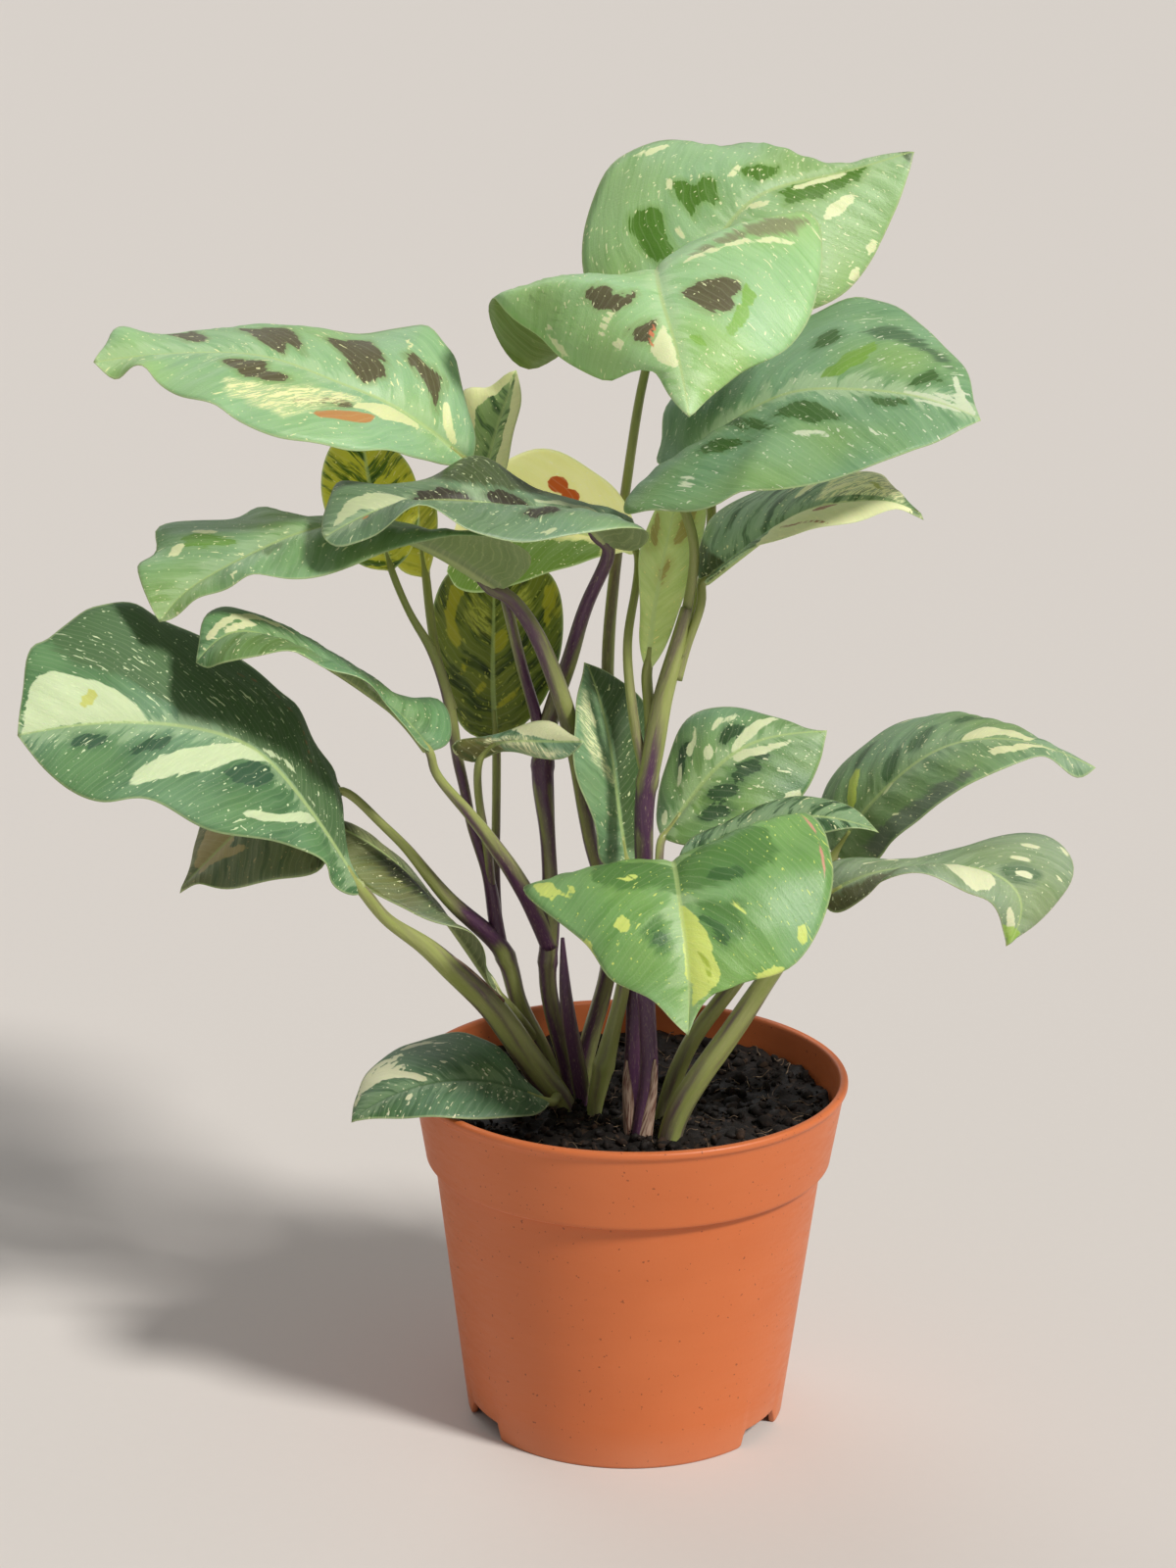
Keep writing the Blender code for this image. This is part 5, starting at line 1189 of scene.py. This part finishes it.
def sheath_material(name):
    """Withered leaf sheath: thin dead tissue, dry as paper. It looks matt, beige with a
    pink cast, with brown fibres 0.45 mm apart along it; cellulose has an index of 1.5."""
    material, tree, shader = new_material(name, Roughness=0.7, IOR=1.5)
    stem = node(tree, FIELD, {}, "Vector", attribute_name="stem")
    grain = node(tree, VECTOR, {0: stem, 1: (0.1, 1.0, 1.0)}, operation="MULTIPLY")
    streak = node(tree, NOISE, {"Vector": grain, "Scale": 1 / 0.4545, "Detail": 4.0}, "Fac")
    share = node(tree, RANGE, {"Value": streak, "From Min": 0.42, "From Max": 0.62})
    finish_shader(tree, shader, (0.6, 0.3, streak),
                  Base_Color=lay_over(tree, "#B29A86", (share, "#6B4638")))
    return material


def stem_material(name, green, purple):
    """Fleshy leaf stalk: ribbed green tissue under a waxy skin, stained purple by sap
    pigment. It looks satin and a little streaky along its length; wax index 1.45. The
    pattern sizes are millimetres round the stalk, and stretch along it."""
    material, tree, shader = new_material(
        name, Roughness=0.42, IOR=1.45, Subsurface_Weight=0.12, Subsurface_Scale=0.001,
        Subsurface_Radius=(0.8, 0.9, 0.3))
    add = partial(node, tree)
    stem = add(FIELD, {}, "Vector", attribute_name="stem")
    grain, stripe = [add(VECTOR, {0: stem, 1: (slow, 1.0, 1.0)}, operation="MULTIPLY")
                     for slow in (0.12, 0.06)]
    streak, cloud, stripes, dots = [
        add(NOISE, {"Vector": place, "Scale": 1 / size, "Detail": detail}, "Fac")
        for place, size, detail in ((grain, 0.714, 4.0), (grain, 2.857, 2.0),
                                    (stripe, 3.03, 1.0), (grain, 0.2, 1.0))]
    stain = add(SEPARATE, {0: stem}, "Z")
    stain = add(MATH, {0: stripes, 1: 1.6, 2: stain}, operation="MULTIPLY_ADD")
    stain = add(MATH, {0: streak, 1: 0.35, 2: stain}, operation="MULTIPLY_ADD")
    stained = add(RANGE, {"Value": stain, "From Min": 1.15, "From Max": 1.75},
                  interpolation_type="SMOOTHSTEP")
    dark = lay_over(tree, purple, (streak, "#6E4C62"))
    dot = add(RANGE, {"Value": dots, "From Min": 0.62, "From Max": 0.75, "To Max": 0.35})
    colour = lay_over(tree, green, (cloud, "#B2B47A"), (stained, dark), (dot, "#C8B98F"))
    gloss = add(RANGE, {"Value": streak, "To Min": 0.24, "To Max": 0.42})
    finish_shader(tree, shader, (0.6, 0.3, streak), Base_Color=colour, Roughness=gloss)
    return material


def soil_height(x, y):
    """The height of the crumbly soil, which rises a little against the pot's wall."""
    coarse, middling, rough, fine = [
        noise.noise(Vector((x, y, layer)) / size)
        for layer, size in ((0.0, 11.0), (40.0, 5.0), (9.0, 2.6), (71.0, 1.1))]
    edge = ease(math.hypot(x, y), 46.0, 54.0)
    return SOIL_LEVEL + 1.6 * (coarse + 0.6 * middling) + 0.9 * (rough + 0.5 * fine) + edge


def add_soil_bed(material):
    """Damp potting mix: it fills the pot and its crumbly surface is knobbly all over."""
    segments, floor_top = 220, FLOOR_Z + FLOOR_THICKNESS
    wall = [(0.0, FLOOR_THICKNESS + 0.3), (FLOOR_STEP_RADIUS - 1.4, FLOOR_THICKNESS + 0.3),
            (FLOOR_STEP_RADIUS + FLOOR_SLOPE - 1.2, floor_top + 0.3),
            (FOOT_RADIUS - 2.4, floor_top + 0.3), (FOOT_RADIUS - 1.2, floor_top + 1.4),
            (BODY_TOP_RADIUS - POT_WALL - 0.45, COLLAR_BOTTOM_Z - 0.4),
            (COLLAR_BOTTOM_RADIUS - POT_WALL - 0.45, COLLAR_BOTTOM_Z + 2.0)]
    surface = [(radius, SOIL_LEVEL)
               for radius in (*np.linspace(COLLAR_BOTTOM_RADIUS - 0.5, 1.2, 48), 0.0)]
    points, rings, faces = lathe([*wall, *surface], segments)
    for number in range(rings[len(wall)][0], len(points)):
        x, y, _ = points[number]
        points[number][2] = soil_height(x, y)
    return add_mesh("soil_bed", points, faces, material)


def random_place(rng, spread):
    """A random place on the soil, as x and y."""
    radius = spread * math.sqrt(rng.random())
    angle = rng.uniform(0, 2 * math.pi)
    return radius * math.cos(angle), radius * math.sin(angle)


def add_crumbs(name, count, sizes, material, rng, lift, level):
    """Irregular lumps scattered over the soil, each pressed a little into it."""
    ball = bmesh.new()
    bmesh.ops.create_icosphere(ball, subdivisions=level, radius=1.0)
    shape = np.array([v.co for v in ball.verts])
    index = np.array([[v.index for v in f.verts] for f in ball.faces])
    ball.free()
    points, faces = [], []
    for i in range(count):
        x, y = random_place(rng, CRUMB_SPREAD)
        size = sizes[0] + (sizes[1] - sizes[0]) * rng.random() ** 2.4
        turn = Matrix.Rotation(rng.uniform(0, math.pi), 3, Vector(rng.normal(size=3)))
        stretch = np.array([1.0, rng.uniform(0.5, 0.95), rng.uniform(0.45, 0.9)])
        bumps = np.array([1 + 0.5 * noise.noise(Vector(p) * 1.3 + Vector((i, 0, 0)))
                          for p in shape])
        lump = (shape * bumps[:, None] * stretch * size) @ np.array(turn).T
        faces.extend((index + len(points)).tolist())
        points.extend(lump + np.array([x, y, soil_height(x, y) + size * lift]))
    return add_mesh(name, points, faces, material)


def add_fibres(name, count, material, rng):
    """Peat and bark fibres: short bent threads lying on the soil, some with an end up."""
    parts = ([], [], [])
    bends = 5
    for _ in range(count):
        x, y = random_place(rng, CRUMB_SPREAD - 1.0)
        heading = rng.uniform(0, 2 * math.pi)
        length, thick = rng.uniform(3.0, 10.0), rng.uniform(0.08, 0.18)
        rise = rng.uniform(0.0, 0.35) if rng.random() < 0.4 else 0.0
        line = []
        for k in range(bends):
            heading += rng.uniform(-0.5, 0.5)
            if math.hypot(x, y) > CRUMB_SPREAD:
                heading = math.atan2(-y, -x)
            x += math.cos(heading) * length / bends
            y += math.sin(heading) * length / bends
            high = soil_height(x, y) + 0.7 + rise * length * k / bends + rng.uniform(0, 0.5)
            line.append((x, y, high, thick * (1 - 0.12 * k)))
        add_tube(parts, even_points(line, 9), 5)
    return add_mesh(name, parts[0], parts[1], material)


def soil_material(name, dark, light):
    """Damp peat mix: crumbs of dark humus, matt, with brown bits of bark and fibre. Its
    grit is 2.4 mm wide, the bits 1.6 mm, and it dries in patches of 8 mm."""
    material, tree, shader = new_material(name, Roughness=0.9, IOR=1.4)
    add = partial(node, tree)
    place = add(PLACE, {}, "Object")
    grit = add(NOISE, {"Vector": place, "Scale": 1 / (2.381 * MM), "Detail": 5.0,
                       "Roughness": 0.7}, "Fac")
    patch = add(NOISE, {"Vector": place, "Scale": 1 / (7.692 * MM), "Detail": 3.0}, "Fac")
    bits = add("ShaderNodeTexVoronoi", {"Vector": place, "Scale": 1 / (1.613 * MM)}, "Color")
    share = add(RANGE, {"Value": grit, "From Min": 0.4, "From Max": 0.7},
                interpolation_type="SMOOTHSTEP")
    chip = add(RANGE, {"Value": add(SEPARATE, {0: bits}, "X"), "From Min": 0.9,
                       "From Max": 0.96, "To Max": 0.6})
    gloss = add(RANGE, {"Value": patch, "From Min": 0.35, "From Max": 0.65, "To Min": 0.62,
                        "To Max": 0.98})
    finish_shader(tree, shader, (0.9, 0.6, grit), Roughness=gloss,
                  Base_Color=lay_over(tree, dark, (share, light), (chip, "#4A3626")))
    return material


def between(start, end, *shares):
    """Points of the straight line from start to end, at the given shares of it."""
    return [(start[0] + (end[0] - start[0]) * s, start[1] + (end[1] - start[1]) * s)
            for s in shares]


def pot_profile():
    """From inside the foot ring up outside, over the bead, down inside to the floor."""
    inner, top, floor_top = POT_WALL, POT_HEIGHT, FLOOR_Z + FLOOR_THICKNESS
    foot, low, high = FOOT_RADIUS, COLLAR_BOTTOM_RADIUS, RIM_RADIUS
    step, slope, collar_z = FLOOR_STEP_RADIUS, FLOOR_SLOPE, COLLAR_BOTTOM_Z
    bead_z = top - BEAD_HEIGHT
    body = between((foot, 0.0), (BODY_TOP_RADIUS, collar_z), 0.004, 0.012, 0.04, 0.07, 0.12,
                   0.2, 0.3, 0.4, 0.5, 0.6, 0.7, 0.8, 0.9, 0.97, 0.99, 1.0)
    collar = between((low, collar_z + 1.4), (high - 1.0, bead_z - 0.7),
                     0.0, 0.03, 0.2, 0.4, 0.6, 0.8, 0.96)
    bead = [(high - back, bead_z + up)
            for back, up in ((0.95, -0.35), (0.6, -0.05), (0.22, 0.3), (0.0, 0.75))]
    bead += [(high - back, top - down)
             for back, down in ((0.0, 0.75), (0.2, 0.3), (0.55, 0.06), (0.9, 0.0), (1.6, 0.0),
                                (1.95, 0.1), (2.25, 0.45), (2.4, 1.0))]
    inside = between(bead[-1], (low - inner, collar_z + 2.0), 0.1, 0.3, 0.5, 0.7, 0.9, 1.0)
    wall = between((BODY_TOP_RADIUS - inner, collar_z - 0.4), (foot - 0.8, floor_top + 1.0),
                   0.0, 0.02, 0.3, 0.6, 0.9, 1.0)
    return [
        (foot - inner, 0.25), (foot - inner + 0.3, 0.0), (foot - 0.3, 0.0), *body,
        (BODY_TOP_RADIUS + 0.3, collar_z + 0.02), (low - 0.9, collar_z),
        (low - 0.45, collar_z + 0.15), (low - 0.12, collar_z + 0.6), *collar, *bead, *inside,
        *wall, (foot - 2.0, floor_top), (step + slope - 0.6, floor_top),
        (step - 0.6, FLOOR_THICKNESS), (0.0, FLOOR_THICKNESS), (0.0, 0.0), (step - 0.3, 0.0),
        (step, 0.15), (step + slope, FLOOR_Z), (foot - inner - 0.4, FLOOR_Z),
        (foot - inner, FLOOR_Z - 0.4),
    ]


def notch_rise(angle):
    """How far the foot ring's lower edge stands up at an angle: three sloping notches."""
    half = math.radians(NOTCH_ANGLE / 2)
    for direction in NOTCH_DIRECTIONS:
        middle = math.radians(direction) - math.pi / 2
        gap = abs((angle - middle + math.pi) % (2 * math.pi) - math.pi)
        if gap < half * 1.12:
            return NOTCH_HEIGHT * ease(-gap, -half * 1.08, -half * 0.84)
    return 0.0


def add_pot_shell(material):
    """The moulded pot: a lathe form whose foot ring rises into notches, with drain holes."""
    segments = 300
    profile = pot_profile()
    points, rings, faces = lathe(profile, segments)
    for ring, (radius, z) in zip(rings, profile):
        foot_ring = z < NOTCH_FADE and radius > FOOT_RADIUS - POT_WALL - 0.2
        under_floor = radius < FOOT_RADIUS and z >= FLOOR_Z - 0.5
        if foot_ring and not under_floor:
            for k, number in enumerate(ring):
                rise = notch_rise(2 * math.pi * k / segments)
                points[number][2] += rise * (1 - z / NOTCH_FADE)
    shell = add_mesh("pot_shell", points, faces, material)
    for number, direction in enumerate(NOTCH_DIRECTIONS):
        turn = math.radians(direction) - math.pi / 2
        x, y = DRAIN_PITCH_RADIUS * math.cos(turn), DRAIN_PITCH_RADIUS * math.sin(turn)
        parts = ([], [], [])
        line = np.array([(x, y, FLOOR_Z - 2, DRAIN_RADIUS), (x, y, FLOOR_Z + 5, DRAIN_RADIUS)])
        add_tube(parts, line, 40)
        cutter = add_mesh(f"drain_cutter_{number}", parts[0], parts[1], material)
        cut = shell.modifiers.new(f"drain {number}", "BOOLEAN")
        cut.operation, cut.solver, cut.object = "DIFFERENCE", "EXACT", cutter
        with bpy.context.temp_override(object=shell, active_object=shell):
            bpy.ops.object.modifier_apply(modifier=cut.name)
        bpy.data.objects.remove(cutter, do_unlink=True)
    return shell


def plastic_material(name, base):
    """Injection-moulded polypropylene: even satin orange with a faint flow of the melt,
    fine surface grain, dull rub marks and a little dry dust. Its index is 1.49. The grain
    and specks are drawn 1.1 mm wide, coarser than real ones, so that they show."""
    material, tree, shader = new_material(
        name, Roughness=0.45, IOR=1.49, Subsurface_Weight=0.06, Subsurface_Scale=0.001,
        Subsurface_Radius=(1.0, 0.45, 0.2))
    add = partial(node, tree)
    place = add(PLACE, {}, "Object")
    stretched = add(VECTOR, {0: place, 1: (1.0, 1.0, 5.0)}, operation="MULTIPLY")
    flow = add(NOISE, {"Vector": stretched, "Scale": 1 / (62.5 * MM), "Detail": 3.0,
                       "Distortion": 0.4}, "Fac")
    rubs = add(NOISE, {"Vector": stretched, "Scale": 1 / (6.667 * MM), "Detail": 4.0,
                       "Roughness": 0.7}, "Fac")
    cloud, peel, grit = [
        add(NOISE, {"Vector": place, "Scale": 1 / (size * MM), "Detail": detail}, "Fac")
        for size, detail in ((45.45, 3.0), (1.111, 2.0), (1.111, 1.0))]
    light = add(RANGE, {"Value": cloud, "From Min": 0.45, "From Max": 0.75, "To Max": 0.25})
    speck = add(RANGE, {"Value": grit, "From Min": 0.735, "From Max": 0.76, "To Max": 0.7})
    height = add(SEPARATE, {0: place}, "Z")
    low = add(RANGE, {"Value": height, "From Max": 0.012, "To Min": 0.35, "To Max": 0.0})
    dusty = add(MATH, {0: low, 1: cloud}, operation="MULTIPLY")
    colour = lay_over(tree, base, (flow, "#CB6A36"), (light, "#E0824F"), (speck, "#7A3A1E"),
                      (dusty, "#C9A58C"))
    gloss = add(RANGE, {"Value": rubs, "From Min": 0.3, "From Max": 0.7, "To Min": 0.36,
                        "To Max": 0.54})
    surface = add(MATH, {0: rubs, 1: 0.35, 2: peel}, operation="MULTIPLY_ADD")
    finish_shader(tree, shader, (0.25, 0.12, surface), Base_Color=colour, Roughness=gloss)
    return material


def floor_material(name, tone):
    """Matt seamless studio paper: evenly pale, with a faint fibre of 3 mm in it."""
    material, tree, shader = new_material(name, Roughness=0.85, IOR=1.4)
    place = node(tree, PLACE, {}, "Object")
    fibre = node(tree, NOISE, {"Vector": place, "Scale": 1 / (3.333 * MM), "Detail": 3.0},
                 "Fac")
    share = node(tree, MATH, {0: fibre, 1: 0.06}, operation="MULTIPLY")
    finish_shader(tree, shader, Base_Color=lay_over(tree, tone, (share, "#B8B0A8")))
    return material


def add_light(name, place, spread, strength, tone):
    """A distant soft light that shines from the given place to the plant."""
    data = bpy.data.lights.new(name, "SUN")
    data.angle, data.energy, data.color = math.radians(spread), strength, tone
    lamp = bpy.data.objects.new(name, data)
    lamp.location = place
    lamp.rotation_euler = (-Vector(place)).to_track_quat("-Z", "Y").to_euler()
    bpy.context.scene.collection.objects.link(lamp)


def add_camera():
    """A camera at the photograph's viewing angle, for an upright 3 to 4 picture."""
    data = bpy.data.cameras.new("camera")
    data.lens, data.sensor_width = CAMERA_LENS, 36.0
    data.clip_start, data.clip_end = 0.05, 100.0
    camera = bpy.data.objects.new("camera", data)
    level = Matrix.Rotation(math.pi / 2 - math.radians(CAMERA_PITCH), 4, "X")
    roll = Matrix.Rotation(math.radians(CAMERA_ROLL), 4, "Z")
    camera.matrix_world = Matrix.Translation(Vector(CAMERA_PLACE) * MM) @ level @ roll
    bpy.context.scene.collection.objects.link(camera)
    bpy.context.scene.camera = camera


def colour_setting(name, description, code):
    """A colour that the panel shows, with a hex code as its default."""
    return bpy.props.FloatVectorProperty(name=name, description=description, min=0.0,
                                         max=1.0, subtype="COLOR", default=linear(code)[:3])


class PlantFinish(bpy.types.PropertyGroup):
    """Sizes and colours of the plant, its soil and its pot."""

    blade_pitch: bpy.props.FloatProperty(
        name="Blade mesh", description="Distance between the points of a blade's mesh",
        default=0.0013, min=0.0006, max=0.01, precision=4, unit="LENGTH")
    blade_thickness: bpy.props.FloatProperty(
        name="Blade thickness", description="Thickness of a leaf blade beside its midrib",
        default=0.0004, min=0.0002, max=0.001, precision=4, unit="LENGTH")
    stalk_green: colour_setting("Stalk green", "Colour of the stalks' green tissue", "#87983E")
    stalk_purple: colour_setting("Stalk purple", "Colour of the sap pigment in the stalks",
                                 "#42204A")
    soil_dark: colour_setting("Soil", "Colour of the damp potting soil", "#130E0B")
    crumbs: bpy.props.IntProperty(
        name="Crumbs", description="How many crumbs lie on the soil",
        default=1500, min=0, max=4000)
    fibres: bpy.props.IntProperty(
        name="Fibres", description="How many fibres lie on the soil",
        default=170, min=0, max=600)


class StageFinish(bpy.types.PropertyGroup):
    """Colours and strengths of the floor and the lights."""

    floor_tone: colour_setting("Floor", "Colour of the studio floor", "#D9D4CF")
    key_strength: bpy.props.FloatProperty(
        name="Key light", description="Strength of the soft light from the right",
        default=2.85, min=0.0, max=20.0)
    fill: bpy.props.FloatProperty(
        name="Fill", description="Strength of the even light from all around",
        default=0.32, min=0.0, max=2.0)
    backdrop: bpy.props.FloatProperty(
        name="Backdrop", description="Brightness of the empty studio behind the floor",
        default=0.74, min=0.0, max=2.0)


def add_blades(slot):
    """Builds every blade whose record slot is the given one."""
    finish = bpy.context.scene.plant_finish
    names = [name for name in LEAVES if SLOTS[name] == slot]
    if not names:
        raise RuntimeError(f"no blade has the slot {slot}")
    for number, name in enumerate(names):
        kind = name.removeprefix("leaf_")
        skin = leaf_material(f"leaf skin {kind.replace('_', ' ')}", PAINT[name],
                             7.3 * number + len(name))
        piece = add_blade(f"blade_{kind}", LEAVES[name], PAINT[name], skin,
                          finish.blade_pitch / MM, finish.blade_thickness / MM)
        keep(piece, name)


class PLANT_OT_silver_blades(bpy.types.Operator):
    """Build the mature blades with silvery green skin and blotches"""

    bl_idname = "plant.silver_blades"
    bl_label = "Silvery Blades"

    def execute(self, context):
        add_blades("leaf_silver_green")
        return {"FINISHED"}


class PLANT_OT_deep_blades(bpy.types.Operator):
    """Build the deep green blades with cream streaks"""

    bl_idname = "plant.deep_blades"
    bl_label = "Deep Green Blades"

    def execute(self, context):
        add_blades("leaf_deep_green")
        return {"FINISHED"}


class PLANT_OT_yellow_blades(bpy.types.Operator):
    """Build the yellow green blades"""

    bl_idname = "plant.yellow_blades"
    bl_label = "Yellow Blades"

    def execute(self, context):
        add_blades("leaf_yellow_green")
        return {"FINISHED"}


class PLANT_OT_stalks(bpy.types.Operator):
    """Build the stems, their dry sheath ends and the leaf stalks"""

    bl_idname = "plant.stalks"
    bl_label = "Stalks"

    def execute(self, context):
        finish = context.scene.plant_finish
        skin = stem_material("stalk skin", (*finish.stalk_green, 1.0),
                             (*finish.stalk_purple, 1.0))
        for name, stalks in SHOOTS.items():
            keep(add_shoot(name, stalks, STALK_TINTS[name], skin), name)
        keep(add_sheath_ends(sheath_material("dry sheath")), slot=SLOTS["shoot_right"])
        return {"FINISHED"}


class PLANT_OT_soil(bpy.types.Operator):
    """Build the soil bed with its crumbs, bark and fibres"""

    bl_idname = "plant.soil"
    bl_label = "Soil"

    def execute(self, context):
        finish = context.scene.plant_finish
        rng = np.random.default_rng(SOIL_SEED)
        humus = soil_material("damp peat mix", (*finish.soil_dark, 1.0), "#241A14")
        bark = soil_material("bark crumbs", "#1A120E", "#3C2A1D")
        keep(add_soil_bed(humus), "soil")
        straw = soil_material("straw fibres", "#5A4632", "#A8927A")
        crumbs, slot = finish.crumbs, SLOTS["soil"]
        for name, count, sizes, material, lift, level in (
                ("soil_crumbs_fine", crumbs * 2 // 3, (0.35, 1.1), humus, 0.35, 1),
                ("soil_crumbs_large", crumbs // 4, (0.8, 2.3), humus, 0.4, 2),
                ("soil_bark", crumbs // 12, (0.6, 2.0), bark, 0.5, 2)):
            keep(add_crumbs(name, count, sizes, material, rng, lift, level), slot=slot)
        keep(add_fibres("soil_fibres", finish.fibres, straw, rng), slot=slot)
        return {"FINISHED"}


class PLANT_OT_pot(bpy.types.Operator):
    """Build the moulded nursery pot"""

    bl_idname = "plant.pot"
    bl_label = "Pot"

    def execute(self, context):
        keep(add_pot_shell(plastic_material("moulded polypropylene", "#D6743F")), "pot")
        return {"FINISHED"}


class PLANT_OT_stage(bpy.types.Operator):
    """Build the floor, the lights and the camera"""

    bl_idname = "plant.stage"
    bl_label = "Stage"

    def execute(self, context):
        stage = context.scene.stage_finish
        points, _, faces = lathe([(radius / MM, 0.0) for radius in FLOOR_RINGS],
                                 FLOOR_SEGMENTS, closed=False)
        floor = add_mesh("studio_floor", points, faces,
                         floor_material("studio paper", (*stage.floor_tone, 1.0)))
        world = bpy.data.worlds.new("studio")
        context.scene.world = world
        world.use_nodes = True
        tree = world.node_tree
        light = tree.nodes["Background"].inputs
        light["Color"].default_value = linear("#F2F0EE")
        seen = node(tree, "ShaderNodeLightPath", {}, "Is Camera Ray")
        tree.links.new(node(tree, RANGE, {"Value": seen, "To Min": stage.fill,
                                          "To Max": stage.backdrop}), light["Strength"])
        add_light("key", (0.95, -0.75, 1.2), 10.0, stage.key_strength, (1.0, 0.97, 0.93))
        add_light("back", (-0.5, 1.0, 0.9), 40.0, 0.45, (0.96, 0.98, 1.0))
        add_camera()
        view = context.scene.view_settings
        view.view_transform, view.look = "Standard", "None"
        view.exposure, view.gamma = 0.0, 1.0
        return {"FINISHED"}


class PLANT_PT_pieces(bpy.types.Panel):
    """Lists the pieces of the plant and what can be set on them"""

    bl_idname = "PLANT_PT_pieces"
    bl_label = "Potted Prayer Plant"
    bl_space_type = "VIEW_3D"
    bl_region_type = "UI"
    bl_category = "Plant"

    def draw(self, context):
        scene = context.scene
        for group, names in ((scene.plant_finish, PlantFinish.__annotations__),
                             (scene.stage_finish, StageFinish.__annotations__)):
            for name in names:
                self.layout.prop(group, name)
        for operator in OPERATORS:
            self.layout.operator(operator.bl_idname)


OPERATORS = (PLANT_OT_stage, PLANT_OT_pot, PLANT_OT_soil, PLANT_OT_stalks,
             PLANT_OT_silver_blades, PLANT_OT_deep_blades, PLANT_OT_yellow_blades)
CLASSES = (PlantFinish, StageFinish, *OPERATORS, PLANT_PT_pieces)


def register():
    for each in CLASSES:
        bpy.utils.register_class(each)
    bpy.types.Scene.plant_finish = bpy.props.PointerProperty(type=PlantFinish)
    bpy.types.Scene.stage_finish = bpy.props.PointerProperty(type=StageFinish)


def unregister():
    del bpy.types.Scene.stage_finish
    del bpy.types.Scene.plant_finish
    for each in reversed(CLASSES):
        bpy.utils.unregister_class(each)


def main():
    register()
    bpy.ops.plant.stage()
    bpy.ops.plant.pot()
    bpy.ops.plant.soil()
    bpy.ops.plant.stalks()
    bpy.ops.plant.silver_blades()
    bpy.ops.plant.deep_blades()
    bpy.ops.plant.yellow_blades()


if __name__ == "__main__":
    main()
